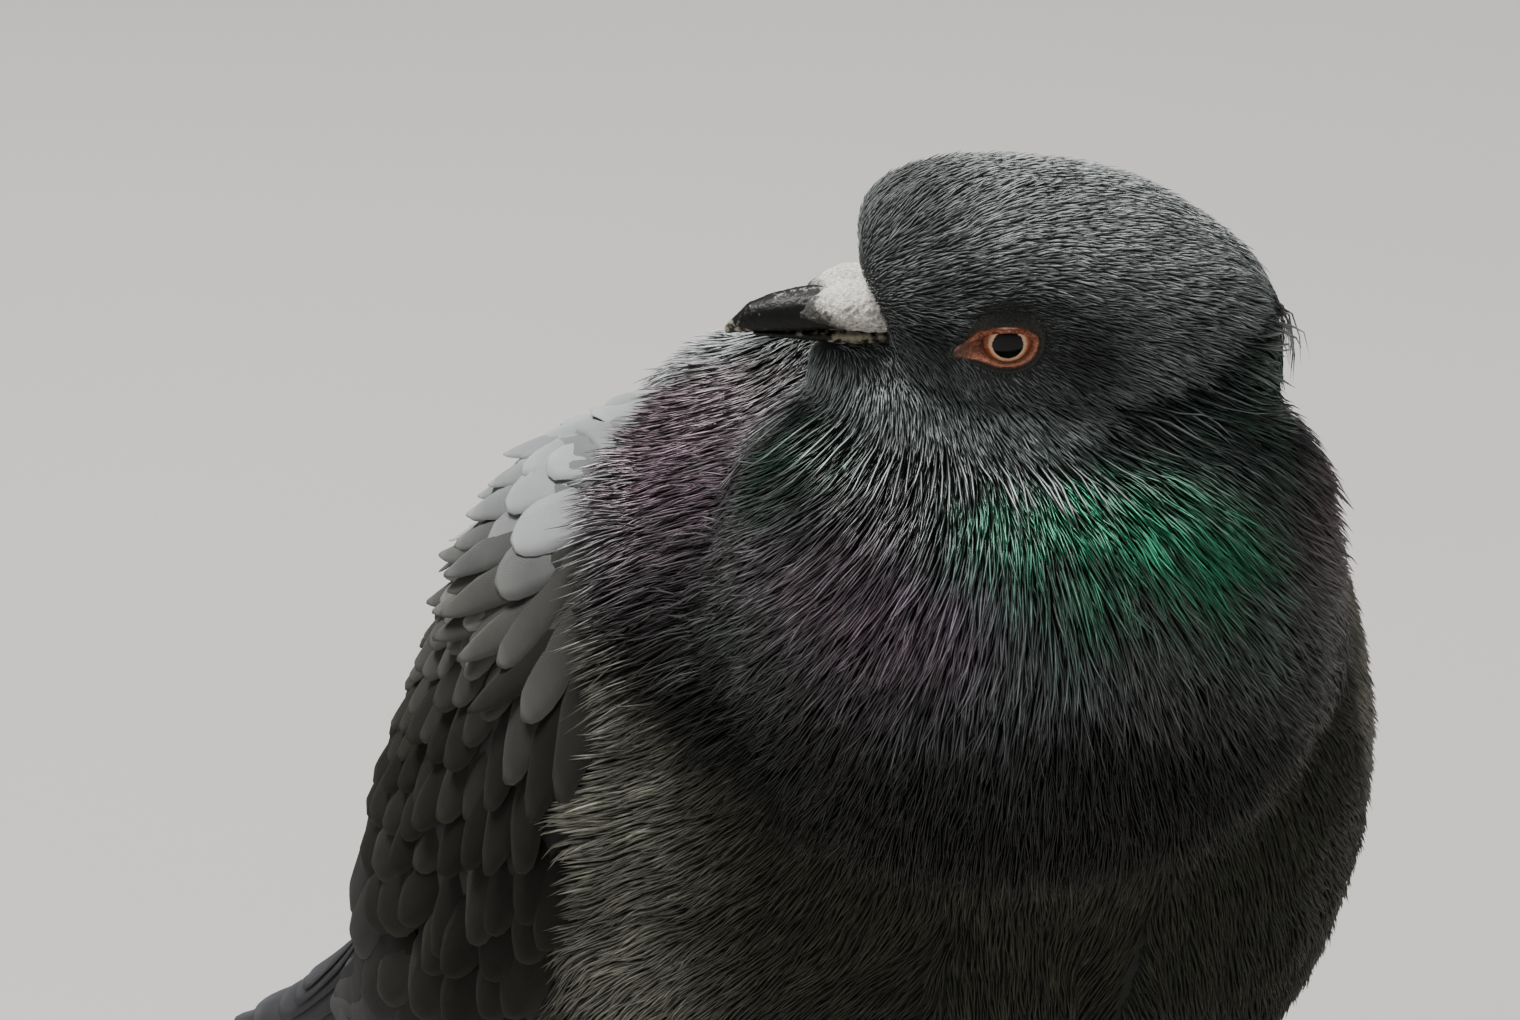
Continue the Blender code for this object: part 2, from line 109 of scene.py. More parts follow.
headAxes = np.array(
    Matrix.Rotation(-math.pi / 2 - head["turn"], 3, "Z") @ Matrix.Rotation(-head["roll"], 3, "X")
)
betweenEyes = (middleOf("eye_left") + middleOf("eye_right")) / 2
headCentre = betweenEyes - headAxes @ (np.array((head["eye"][0], 0, head["eye"][2])) * mm)
bodyShift = headCentre - np.array(head["drawnAt"]) * mm


def toHead(points):
    return (points - headCentre) @ headAxes / mm


def fromHead(points):
    return headCentre + np.asarray(points) @ headAxes.T * mm


def readTable(table, at):
    # values of a table between its rows, on a curve through them
    rows = np.array(table, float)
    at = np.clip(np.asarray(at, float), rows[0, 0], rows[-1, 0])
    i = np.clip(np.searchsorted(rows[:, 0], at, "right") - 1, 0, len(rows) - 2)
    before, here, there, after = (rows[np.clip(i + k, 0, len(rows) - 1)] for k in (-1, 0, 1, 2))
    span = there[..., :1] - here[..., :1]
    t = (at[..., None] - here[..., :1]) / span
    riseHere = (there - before) / (there[..., :1] - before[..., :1]) * span
    riseThere = (after - here) / (after[..., :1] - here[..., :1]) * span
    fromHere = (2 * t**3 - 3 * t**2 + 1) * here + (t**3 - 2 * t**2 + t) * riseHere
    return (fromHere + (3 * t**2 - 2 * t**3) * there + (t**3 - t**2) * riseThere)[..., 1:]


def spineAt(along):
    # place (mm, as drawn), backward direction and upward direction along the spine
    along = np.asarray(along, float)
    onArc = np.minimum(along, spine["tailStart"])
    slope = spine["slope"] - onArc / spine["radius"]
    sine, cosine, zero = np.sin(slope), np.cos(slope), np.zeros_like(slope)
    back, up = np.stack([zero, cosine, -sine], -1), np.stack([zero, sine, cosine], -1)
    behind = spine["radius"] * (math.sin(spine["slope"]) - sine)
    height = spine["height"] - spine["radius"] * (cosine - math.cos(spine["slope"]))
    return np.stack([zero, behind, height], -1) + back * (along - onArc)[..., None], back, up


def alongSpine(points):
    # distance along the spine, across, and up from the spine, in mm
    p = (points - bodyShift) / mm
    radius, slope = spine["radius"], spine["slope"]
    arm = np.array((0, radius * math.sin(slope), spine["height"] + radius * math.cos(slope))) - p
    along = (slope - np.arctan2(arm[:, 1], arm[:, 2])) * radius
    place, back, up = spineAt(np.full(len(p), spine["tailStart"]))
    straight = dot(p - place, back)
    along = np.where(straight > 0, spine["tailStart"] + straight, along)
    rise = np.where(straight > 0, dot(p - place, up), radius - np.hypot(arm[:, 1], arm[:, 2]))
    return along, p[:, 0], rise


def wingPoint(side, along, share, lift):
    # a point over the folded wing, in metres: share runs from 0 at its upper edge to 1 at its lower edge
    upper, lower, thickness = np.moveaxis(readTable(wingEdge, along), -1, 0)
    halfWidth, toBack = np.moveaxis(readTable(wingBed, along), -1, 0)
    angle = side * np.radians(upper + (lower - upper) * share)
    lift = np.clip(1 - np.abs(2 * share - 1) ** 3, 0, 1) * thickness + lift
    place, _, up = spineAt(along)
    above = np.cos(angle) > 0
    square = np.where(above, 0.84, 0.94)
    rise = signedPower(np.cos(angle), square) * (toBack + lift + np.where(above, 0, 4))
    point = place + up * rise[..., None]
    point[..., 0] += signedPower(np.sin(angle), square) * (halfWidth + lift)
    return point * mm + bodyShift


# the way the bird is looked at
view = {
    "azimuth": math.radians(-27),
    "rise": math.radians(15),
    "distance": 1.9035,  # from the pupil's plane, m
    "lens": 375,
    "eyeRight": 29.81,  # where the pupil stands from the middle of the picture, mm
    "eyeUp": 19.72,
}
turn, rise = view["azimuth"], view["rise"]
lookBack = np.array((math.sin(turn) * math.cos(rise), -math.cos(turn) * math.cos(rise), math.sin(rise)))
lookRight = np.array((math.cos(turn), math.sin(turn), 0.0))
lookUp = np.cross(lookBack, lookRight)
pupil = middleOf("eye_left") + headAxes[:, 1] * 5 * mm


def only(*objects):
    bpy.ops.object.select_all(action="DESELECT")
    for obj in objects:
        obj.select_set(True)
    bpy.context.view_layer.objects.active = objects[0]


def edit(obj, operator, **settings):
    # one edit mode operator on the whole mesh
    only(obj)
    bpy.ops.object.mode_set(mode="EDIT")
    bpy.ops.mesh.select_all(action="SELECT")
    operator(**settings)
    bpy.ops.object.mode_set(mode="OBJECT")


def joinAs(name, objects):
    only(*objects)
    if len(objects) > 1:
        bpy.ops.object.join()
    joined = bpy.context.view_layer.objects.active
    joined.name = name
    return joined


def copyNodes(name, nodes):
    # one new object with copies of these solids' meshes
    copies = []
    for node in nodes:
        twin = bpy.data.objects.new(name, frame["nodes"][node].data.copy())
        bpy.context.scene.collection.objects.link(twin)
        copies.append(twin)
    joined = joinAs(name, copies)
    joined.data.materials.clear()
    for layer in [a.name for a in joined.data.uv_layers]:
        joined.data.uv_layers.remove(joined.data.uv_layers[layer])
    edit(joined, bpy.ops.mesh.remove_doubles, threshold=0.00002)
    return joined


def applyModifier(obj, kind, **settings):
    only(obj)
    step = obj.modifiers.new(kind.lower(), kind)
    for key, value in settings.items():
        setattr(step, key, value)
    bpy.ops.object.modifier_apply(modifier=step.name)


def soften(obj, factor, iterations):
    applyModifier(obj, "SMOOTH", factor=factor, iterations=iterations)


def remesh(obj, voxel):
    only(obj)
    obj.data.remesh_voxel_size = voxel * mm
    obj.data.use_remesh_preserve_volume = False
    bpy.ops.object.voxel_remesh()


def dropPockets(obj):
    # keeps what hangs together with the highest point, not closed pockets inside
    top = int(getPoints(obj)[:, 2].argmax())
    edit(obj, bpy.ops.mesh.select_all, action="DESELECT")
    obj.data.vertices[top].select = True
    bpy.ops.object.mode_set(mode="EDIT")
    bpy.ops.mesh.select_mode(type="VERT")
    bpy.ops.mesh.select_linked()
    bpy.ops.mesh.select_all(action="INVERT")
    bpy.ops.mesh.delete(type="VERT")
    bpy.ops.object.mode_set(mode="OBJECT")


def readArray(items, name, width, kind=np.float32):
    values = np.zeros(len(items) * width, kind)
    items.foreach_get(name, values)
    return values.reshape(-1, width)


def getPoints(obj):
    return readArray(obj.data.vertices, "co", 3).astype(float)


def getNormals(obj):
    return readArray(obj.data.vertex_normals, "vector", 3).astype(float)


def setPoints(obj, points):
    obj.data.vertices.foreach_set("co", points.astype(np.float32).ravel())
    obj.data.update()


def swell(obj, amount):
    # moves each point out along its normal by this many mm
    setPoints(obj, getPoints(obj) + getNormals(obj) * np.reshape(amount, (-1, 1)) * mm)


def paint(mesh, colours):
    layer = mesh.color_attributes.new("plumage", "FLOAT_COLOR", "POINT")
    rgba = np.ones((len(colours), 4), np.float32)
    rgba[:, :3] = np.clip(colours, 0, 1)
    layer.data.foreach_set("color", rgba.ravel())


def meshFrom(name, points, triangles, colours, maps):
    # a mesh object from arrays; maps holds one UV pair for each corner of each triangle
    mesh = bpy.data.meshes.new(name)
    mesh.vertices.add(len(points))
    mesh.vertices.foreach_set("co", points.astype(np.float32).ravel())
    mesh.loops.add(len(triangles) * 3)
    mesh.loops.foreach_set("vertex_index", triangles.astype(np.int32).ravel())
    mesh.polygons.add(len(triangles))
    mesh.polygons.foreach_set("loop_start", np.arange(0, len(triangles) * 3, 3, dtype=np.int32))
    mesh.polygons.foreach_set("use_smooth", np.ones(len(triangles), bool))
    mesh.update(calc_edges=True)
    for mapName, pairs in maps.items():
        layer = mesh.uv_layers.new(name=mapName)
        layer.data.foreach_set("uv", pairs.astype(np.float32).ravel())
    paint(mesh, colours)
    made = bpy.data.objects.new(name, mesh)
    bpy.context.scene.collection.objects.link(made)
    return made


def finish(obj, material, nodes=()):
    obj.data.materials.clear()
    obj.data.materials.append(material)
    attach(obj, "root")
    if nodes:
        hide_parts(*nodes)


def newMaterial(name, roughness, specular=0.5, metallic=0.0):
    made = bpy.data.materials.new(name)
    made.use_nodes = True
    shader = made.node_tree.nodes["Principled BSDF"]
    shader.inputs["Roughness"].default_value = roughness
    shader.inputs["Metallic"].default_value = metallic
    shader.inputs["Specular IOR Level"].default_value = specular
    return made, made.node_tree, shader


def feed(tree, socket, value):
    # a socket takes a number, a colour or the output of another node
    if isinstance(value, bpy.types.NodeSocket):
        tree.links.new(value, socket)
    else:
        socket.default_value = (*value, 1) if isinstance(value, tuple) else value


def addNode(tree, kind, *values, **settings):
    node = tree.nodes.new("ShaderNode" + kind)
    for key, value in settings.items():
        setattr(node, key, value)
    for socket, value in zip(node.inputs, values):
        feed(tree, socket, value)
    return node


def multiply(tree, factor, first, second):
    # the product of two colours
    mix = addNode(tree, "Mix", data_type="RGBA", blend_type="MULTIPLY")
    for socket, value in ((0, factor), (6, first), (7, second)):
        feed(tree, mix.inputs[socket], value)
    return mix.outputs[2]


def ramp(tree, value, stops):
    # a colour ramp from (place, grey or colour) rows
    node = addNode(tree, "ValToRGB", value)
    elements = node.color_ramp.elements
    while len(elements) > 1:
        elements.remove(elements[-1])
    for i, (place, colour) in enumerate(stops):
        element = elements[0] if i == 0 else elements.new(place)
        element.position = place
        element.color = (*(colour if isinstance(colour, tuple) else (colour,) * 3), 1)
    return node.outputs["Color"]


def grain(tree, scale, detail, stretch=(1, 1, 1)):
    # noise in object space
    place = addNode(tree, "TexCoord").outputs["Object"]
    mapping = addNode(tree, "Mapping", place)
    mapping.inputs["Scale"].default_value = stretch
    return addNode(tree, "TexNoise", mapping.outputs[0], 0.0, float(scale), float(detail)).outputs["Fac"]


def addBump(tree, shader, height, strength, distance):
    bump = addNode(tree, "Bump")
    for key, value in (("Strength", strength), ("Distance", distance), ("Height", height)):
        feed(tree, bump.inputs[key], value)
    feed(tree, shader.inputs["Normal"], bump.outputs["Normal"])


def paintedMaterial(name, roughness, specular, fleck, bump=None, metallic=0.0):
    # shows the colours painted on a piece, under flecks (size, detail, two stops) and a fine grain
    made, tree, shader = newMaterial(name, roughness, specular, metallic)
    colour = addNode(tree, "Attribute", attribute_name="plumage").outputs["Color"]
    scale, detail, *stops = fleck
    tone = ramp(tree, grain(tree, scale, detail), stops)
    feed(tree, shader.inputs["Base Color"], multiply(tree, 1.0, colour, tone))
    if bump:
        scale, detail, strength, distance = bump
        addBump(tree, shader, grain(tree, scale, detail), strength, distance)
    return made


# the skin: depths are how far it lies inside the coat's outer surface in each region, mm
skinDepths = {"head": 0.75, "neck": 2.1, "trunk": 1.7, "wing": 1.9, "thigh": 1.4}
skinSizes = {
    "voxel": 1.25,
    "grow": 0.6,  # closes the cuts between the solids before they are joined
    "tailLength": 46.0,  # how much of the tail's root is flesh
}
fleshNodes = ["trunk", "neck", "head", "wing_left", "wing_right", "thigh_left", "thigh_right"]
regions = list(skinDepths)


def makeSkin():
    print("skin")
    tail = copyNodes("tailRoot", ["tail"])
    place, back, _ = spineAt(spine["tailStart"] + skinSizes["tailLength"])
    cut = place * mm + bodyShift
    edit(tail, bpy.ops.mesh.bisect, plane_co=cut, plane_no=back, use_fill=True, clear_outer=True)
    skin = joinAs("skin", [copyNodes("skin", fleshNodes), tail])
    swell(skin, skinSizes["grow"])
    remesh(skin, skinSizes["voxel"])
    dropPockets(skin)
    soften(skin, 0.5, 8)
    return skin


def regionWeights(skin):
    # how far each point of the skin belongs to each region, softened over its neighbours
    points, faces, labels = [], [], []
    for node in fleshNodes + ["tail"]:
        mesh = frame["nodes"][node].data
        start = len(points)
        points += [v.co for v in mesh.vertices]
        faces += [[start + i for i in p.vertices] for p in mesh.polygons]
        region = node.split("_")[0]
        labels += [regions.index("trunk" if region == "tail" else region)] * len(mesh.polygons)
    tree = BVHTree.FromPolygons(points, faces)
    nearest = [tree.find_nearest(p)[2] for p in getPoints(skin).tolist()]
    weights = np.eye(len(regions))[np.array(labels)[nearest]]
    edges = readArray(skin.data.edges, "vertices", 2, np.int32)
    degree = np.bincount(edges.ravel(), minlength=len(weights))[:, None]
    a, b = edges.T
    for _ in range(5):
        total = np.zeros_like(weights)
        np.add.at(total, a, weights[b])
        np.add.at(total, b, weights[a])
        weights = 0.5 * weights + 0.5 * total / degree
    return weights


def fillHollows(skin, weights):
    # the long hackles bridge the hollows between the neck and what lies behind it
    smooth = skin.copy()
    smooth.data = skin.data.copy()
    bpy.context.scene.collection.objects.link(smooth)
    soften(smooth, 0.6, 400)
    gap = dot(getPoints(smooth) - getPoints(skin), getNormals(skin)) / mm
    bpy.data.objects.remove(smooth)
    swell(skin, np.clip(gap, 0, 6.0) * easeStep(0.1, 0.5, weights[:, 1]))
    soften(skin, 0.5, 4)


def fillSockets(skin):
    # draws the skin over the eyeballs' edges, up to where the lids lie on them
    local = toHead(getPoints(skin))
    forward, sideways, up = head["eye"]
    for side in (1, -1):
        gap = np.hypot(local[:, 0] - forward, local[:, 2] - up)
        out = local[:, 1] * side - sideways
        ball = np.sqrt(np.clip(25 - gap**2, 0.5, None)) - 0.6
        dish = 12.0 - np.sqrt(np.clip(81 - gap**2, 1.0, None)) - 0.8
        share = easeStep(7.5, 5.0, gap) * (out > -5)
        filled = (out + (np.maximum(ball, dish) - out) * share + sideways) * side
        local[:, 1] = np.where(out > -5, filled, local[:, 1])
    setPoints(skin, fromHead(local))


def raiseChin(skin):
    # feathered skin closes round the root of the lower bill
    forward, _, up = toHead(getPoints(skin)).T
    share = easeStep(29.5, 26.5, forward) * easeStep(14, 18, forward) * easeStep(-3.0, -4.6, up)
    swell(skin, 1.3 * share * easeStep(-13, -9, up))


skin = makeSkin()
skinWeights = regionWeights(skin)
swell(skin, -(skinWeights @ list(skinDepths.values()) + skinSizes["grow"]))
soften(skin, 0.5, 4)
fillHollows(skin, skinWeights)
fillSockets(skin)
raiseChin(skin)
print("skin faces", len(skin.data.polygons))

# its unwrap, and the surface that feathers are laid on
edit(skin, bpy.ops.uv.smart_project, angle_limit=math.radians(66), island_margin=0.002)
skin.data.uv_layers[0].name = "OFBake"
bpy.ops.object.shade_smooth()


def readSurface(obj):
    mesh = obj.data
    mesh.calc_loop_triangles()
    corners = readArray(mesh.loop_triangles, "vertices", 3, np.int32)
    loops = readArray(mesh.loop_triangles, "loops", 3, np.int32)
    points = getPoints(obj)
    a, b, c = points[corners].transpose(1, 0, 2)
    return {
        "points": points,
        "corners": corners,
        "tree": BVHTree.FromPolygons(points.tolist(), corners.tolist()),
        "normal": unit(getNormals(obj)[corners].mean(1)),
        "area": np.linalg.norm(np.cross(b - a, c - a), axis=1) / 2,
        "uv": readArray(mesh.uv_layers["OFBake"].data, "uv", 2)[loops],
        "weights": skinWeights[corners],
    }


body = readSurface(skin)


def snap(points):
    # nearest places on the skin, their normals and faces
    find = body["tree"].find_nearest
    hits = [find(p) for p in points.tolist()]
    face = np.array([h[2] for h in hits])
    return np.array([h[0] for h in hits]), body["normal"][face], face


def spread(share, values):
    # values at the corners of faces, taken at a point inside each face
    return np.einsum("ij,ijk->ik", share, values)


def nearestUv(points):
    # where a feather's root lies on the unwrap of the skin
    place, _, face = snap(points)
    tri = body["points"][body["corners"][face]]
    gap = np.linalg.norm(tri - place[:, None], axis=2) + 1e-7
    return spread((1 / gap) / (1 / gap).sum(1, keepdims=True), body["uv"][face])


def rootsWhere(density, spacing):
    # roots on the skin, no two closer than spacing (mm); density is 0 to 1 for each face
    chance = body["area"] * density
    count = int(7.0 * chance.sum() / (spacing * mm) ** 2)
    face = dice.permutation(np.sort(dice.choice(len(chance), count, p=chance / chance.sum())))
    a, b = dice.random(count), dice.random(count)
    flip = a + b > 1
    a[flip], b[flip] = 1 - a[flip], 1 - b[flip]
    share = np.stack([1 - a - b, a, b], 1)
    places = spread(share, body["points"][body["corners"][face]])
    near = KDTree(count)
    for i, p in enumerate(places.tolist()):
        near.insert(p, i)
    near.balance()
    taken, kept = np.zeros(count, bool), []
    for i, p in enumerate(places.tolist()):
        if not taken[i]:
            kept.append(i)
            for _, j, _ in near.find_range(p, spacing * mm):
                taken[j] = True
    face, share, place = face[kept], share[kept], places[kept]
    weights = spread(share, body["weights"][face])
    return {
        "place": place,
        "normal": body["normal"][face],
        "uv": spread(share, body["uv"][face]),
        "weights": weights,
        "colour": plumage(place, weights),
    }


# markings, one rule for skin and coat: colours are linear; places are mm from the middle of the
# body's box, spreads are mm
markings = {
    "head": (0.17, 0.188, 0.188),
    # the crown is paler than the rest of the head as painted light from above; the face colour is painted
    # shade round the eye
    "crown": (0.26, 0.272, 0.275),
    "forehead": (0.10, 0.107, 0.107),
    "face": (0.034, 0.038, 0.036),
    "neck": (0.105, 0.102, 0.105),
    # the colour at the neck's foot is painted shade
    "neckLow": (0.009, 0.0085, 0.008),
    # the breast's dark is its own slate grey, darkened further as painted shade
    "breast": (0.026, 0.0265, 0.019),
    "belly": (0.15, 0.155, 0.16),
    "back": (0.36, 0.375, 0.385),
    "rump": (0.62, 0.63, 0.63),
    "tailRoot": (0.13, 0.14, 0.155),
    # the wing's dark is its coverts' own grey, darkened further as painted shade low on the wing
    "wing": (0.017, 0.0165, 0.014),
    "wingMiddle": (0.085, 0.085, 0.08),
    "wingRear": (0.10, 0.105, 0.108),
    "wingBar": (0.016, 0.015, 0.015),
    "thigh": (0.12, 0.125, 0.13),
}
# colour, where, spread, strength
glosses = (
    ((0.020, 0.20, 0.105), (-16.0, -129.0, 163.5), 8.5, 1.0),
    ((0.025, 0.15, 0.09), (-27.0, -123.5, 164.5), 6.0, 0.7),
    ((0.022, 0.17, 0.090), (-4.0, -134.0, 160.5), 8.0, 0.85),
    ((0.02, 0.09, 0.055), (8.0, -124.0, 175.0), 11.0, 0.6),
    ((0.125, 0.092, 0.105), (-33.0, -61.0, 163.0), 14.0, 0.9),
    ((0.12, 0.085, 0.11), (-40.0, -75.0, 158.0), 12.0, 0.7),
    ((0.17, 0.115, 0.16), (-34.0, -126.0, 154.0), 8.5, 0.9),
    ((0.09, 0.07, 0.085), (-41.0, -112.0, 156.0), 12.0, 0.6),
    ((0.07, 0.045, 0.055), (13.0, -131.0, 157.0), 11.0, 0.7),
    ((0.08, 0.05, 0.065), (20.0, -118.0, 165.0), 13.0, 0.7),
    ((0.018, 0.055, 0.036), (-37.0, -101.0, 167.5), 9.0, 0.9),
    ((0.07, 0.095, 0.095), (-27.0, -131.0, 147.0), 13.0, 0.6),
    ((0.02, 0.05, 0.036), (-45.5, -100.0, 141.0), 10.0, 0.6),
    ((0.03, 0.065, 0.05), (8.0, -138.0, 146.0), 12.0, 0.5),
    # the next three dark grey rows are painted shade on the right side of the neck ball
    ((0.020, 0.017, 0.017), (-46.0, -84.0, 141.0), 13.0, 0.9),
    ((0.022, 0.022, 0.021), (-41.0, -110.0, 139.0), 11.0, 0.7),
    ((0.03, 0.028, 0.03), (-41.0, -90.0, 160.0), 7.0, 0.6),
    ((0.02, 0.14, 0.085), (26.0, -84.0, 158.0), 17.0, 0.8),
    ((0.12, 0.065, 0.11), (30.0, -90.0, 136.0), 17.0, 0.7),
    ((0.02, 0.12, 0.075), (0.0, -58.0, 166.0), 14.0, 0.7),
    ((0.11, 0.06, 0.10), (10.0, -56.0, 148.0), 14.0, 0.5),
)
# fringe of the breast that laps over the folded wing, on both sides; its paler colour is painted light on the
# breast's lit edge
fringe = {
    "places": ((46.6, -77.3, 135.0), (49.6, -74.3, 115.0), (49.6, -74.3, 95.0)),
    "spread": 14.0,
    "colour": (0.17, 0.17, 0.14),
}
collar = {"place": (-19.0, -104.0, 134.5), "normal": (0.42, 0.49, -0.76), "edge": 1.5}  # hackles end here
# pale feathers that close the ball on its outer side
shoulder = {"edge": 32.5, "colour": (0.13, 0.125, 0.105)}


def blend(a, b, share):
    # a where share is 0, b where it is 1
    return np.array(a) * (1 - share[:, None]) + np.array(b) * share[:, None]


def softNoise(points, size, seed):
    # smooth noise of about -1 to 1, features of this size in mm
    shift = Vector((seed, seed * 2.3, seed * 0.7))
    return np.array([noise.noise(Vector(p) / (size * mm) + shift) for p in points.tolist()]) * 1.6


def belowHead(points):
    # mm above (below, where negative) the line where the head's feathers pass into the neck's hackles
    forward, _, up = toHead(points).T
    return up + 10.5 - np.clip(-forward, 0, 40) * 0.48


def headness(points):
    # 1 where the short grey feathers of the head grow, 0 on the neck's hackles
    return easeStep(-2.5, 2.5, belowHead(points))


def beyondCollar(points):
    # mm past the plane where the hackles end, towards the tail
    return (points / mm - collar["place"]) @ np.array(collar["normal"])


def shoulderShare(points):
    rel = (points - pupil) / mm
    beyond = 0.978 * rel @ lookRight + 0.21 * rel @ lookUp
    return easeStep(shoulder["edge"] - 0.8, shoulder["edge"] + 0.8, beyond) * easeStep(-6, -10, rel @ lookUp)


def levelAt(points):
    # height that falls off to the sides: parts the pale mantle from the wing, which is painted darker below
    # it, partly as painted shade
    return (0.856 * points[:, 2] - 0.517 * np.abs(points[:, 0])) / mm


def fringeShare(points):
    mirror = points / mm
    mirror[:, 0] = np.abs(mirror[:, 0])
    near = [((mirror - at) ** 2).sum(1) for at in fringe["places"]]
    return np.exp(-np.min(near, 0) / fringe["spread"] ** 2)


def shares(points, weights):
    # how far each point belongs to the head, neck, trunk, wing and thigh
    above = easeStep(collar["edge"], -collar["edge"], beyondCollar(points))
    beside = shoulderShare(points)
    neck = np.clip(weights[:, 1] + above * weights[:, 2], 0, 1)
    trunk = weights[:, 2] * (1 - above) + neck * beside
    upper = weights[:, 0] + neck * (1 - beside)
    onHead = headness(points)
    return np.stack([onHead * upper, (1 - onHead) * upper, trunk, weights[:, 3], weights[:, 4]], 1)


def glossed(points, neck, low, cloud, fine):
    # lays the green and purple patches, and the patches of painted shade, over the neck's colour
    total, tint = np.zeros(len(points)), np.zeros((len(points), 3))
    for colour, where, spread, strength in glosses:
        share = strength * np.exp(-((points / mm - where) ** 2).sum(1) / spread**2)
        share = np.clip(share * (1 + 0.55 * fine + 0.3 * cloud), 0, 1)
        tint += share[:, None] * np.array(colour)
        total += share
    return blend(neck, tint / np.maximum(total, 1e-6)[:, None], np.clip(total, 0, 1) * (1 - 0.8 * low))


def plumage(points, weights):
    # the coat's colour at these points of the body
    along, _, rise = alongSpine(points)
    forward, _, up = toHead(points).T
    cloud, fine = softNoise(points, 9, 3.1), softNoise(points, 2.5, 7.7)
    # head: crown painted paler than the forehead and the sides as painted light from above; painted shade
    # before, above and behind the eye
    crown = blend(markings["crown"], markings["forehead"], easeStep(6, 17, forward))
    top = easeStep(3.5, 14, up + 0.3 * np.clip(-2 - forward, 0, 12))
    lores = np.exp(-((forward - 15) ** 2 + (up - 1) ** 2) / 22)
    brow = 0.95 * np.exp(-((forward - 6) ** 2 / 70 + (up - 6.5) ** 2 / 9))
    behindEye = np.exp(-((forward + 3) ** 2 + (up - 0.5) ** 2) / 30)
    dark = np.maximum(np.maximum(lores, brow), behindEye) * 0.9
    headColour = blend(blend(markings["head"], crown, top), markings["face"], dark)
    # neck: painted shade towards its foot and right under the head
    low = easeStep(158, 133, points[:, 2] / mm + softNoise(points, 7, 5.0) * 4)
    neckColour = blend(markings["neck"], markings["neckLow"], low)
    neckColour = glossed(points, neckColour, low, cloud, fine)
    neckColour *= 0.6 + 0.4 * easeStep(1, -11, belowHead(points))[:, None]
    # trunk: breast slate grey darkened further as painted shade, paler belly and back, white rump
    edge = fringeShare(points)
    rump = easeStep(62, 74, along) * easeStep(112, 98, along) * easeStep(2, 10, rise)
    trunkColour = blend(markings["breast"], markings["belly"], easeStep(0, 45, along))
    trunkColour = blend(trunkColour, markings["back"], easeStep(-8, 26, rise))
    trunkColour = blend(trunkColour, markings["rump"], rump)
    # the fringe's paler colour is painted light
    trunkColour = blend(trunkColour, fringe["colour"], edge)
    trunkColour = blend(trunkColour, shoulder["colour"], shoulderShare(points))
    trunkColour = blend(trunkColour, markings["tailRoot"], easeStep(100, 112, along))
    # wing: pale scapulars; coverts dark, partly as painted shade low on the wing; paler behind with two bars
    level = levelAt(points)
    bars = np.exp(-(((along - 60) / 5) ** 2)) + np.exp(-(((along - 92) / 6) ** 2))
    bars = np.clip(1.6 * bars, 0, 1) * easeStep(98, 90, level)
    pale = easeStep(88, 104, level + 0.35 * np.clip(along - 35, 0, 60))
    wingColour = blend(markings["wing"], markings["wingRear"], easeStep(46, 66, along))
    wingColour = blend(wingColour, markings["wingMiddle"], easeStep(72, 92, level) * easeStep(50, 20, along))
    wingColour = blend(wingColour, markings["back"], pale)
    wingColour = blend(wingColour, markings["wingBar"], bars)
    # the fringe's paler colour is painted light
    wingColour = blend(wingColour, fringe["colour"], easeStep(0.78, 0.88, edge))
    tones = (headColour, neckColour, trunkColour, wingColour, np.array(markings["thigh"]))
    colour = sum(part[:, None] * tone for part, tone in zip(shares(points, weights).T, tones))
    return np.clip(colour * (1 + 0.10 * cloud + 0.10 * fine)[:, None], 0.004, 1)


# lie of the coat on the side that the bird looks to: mm to the right of the pupil, mm above it, and
# the way that the feathers point there in degrees from straight down, turning to the right
lieGuides = (
    (-19, 17, 172), (-13, 20, 142), (-5, 20, 120), (5, 20, 100), (17, 18, 80), (27, 12, 76),
    (-13, 11, 120), (-5, 10, 106), (6, 10, 85), (18, 9, 84), (-13, 5, 98), (-4, 5, 90),
    (7, 4, 78), (20, 3, 84), (31, 2, 72), (-15, -1, 40), (-7, -4, 32), (2, -6, 58),
    (10, -5, 77), (22, -6, 68), (31, -7, 55), (-20, -6, -30), (-13, -11, -8), (-4, -12, 10),
    (5, -12, 32), (16, -12, 54), (28, -13, 45), (-28, -8, -70), (-42, -12, -70), (-21, -16, -52),
    (-34, -20, -64), (-12, -19, -18), (0, -20, 12), (12, -20, 40), (25, -21, 45), (38, -20, 38),
    (-42, -30, -60), (-28, -29, -56), (-16, -29, -40), (-3, -29, -12), (9, -29, 16), (22, -29, 35),
    (35, -29, 48), (-40, -41, -60), (-27, -40, -40), (-14, -40, -24), (0, -40, -10), (14, -40, 10),
    (27, -40, 33), (40, -40, 34), (-33, -50, -46), (-18, -50, -22), (0, -51, -10), (16, -50, 8),
    (32, -50, 22), (-47, -54, -82), (-46, -68, -75), (-34, -64, -60), (-22, -66, -30), (0, -64, -5),
    (28, -62, 8), (-36, -76, -52), (0, -78, 0), (28, -76, 0),
)
guideSpread = 6.0  # mm
neckBall = {"middle": (-6.0, -100.0, 146.0), "reach": (41, 41, 38)}  # mm
patchSize = 0.0015  # how much of the skin's unwrap each feather takes


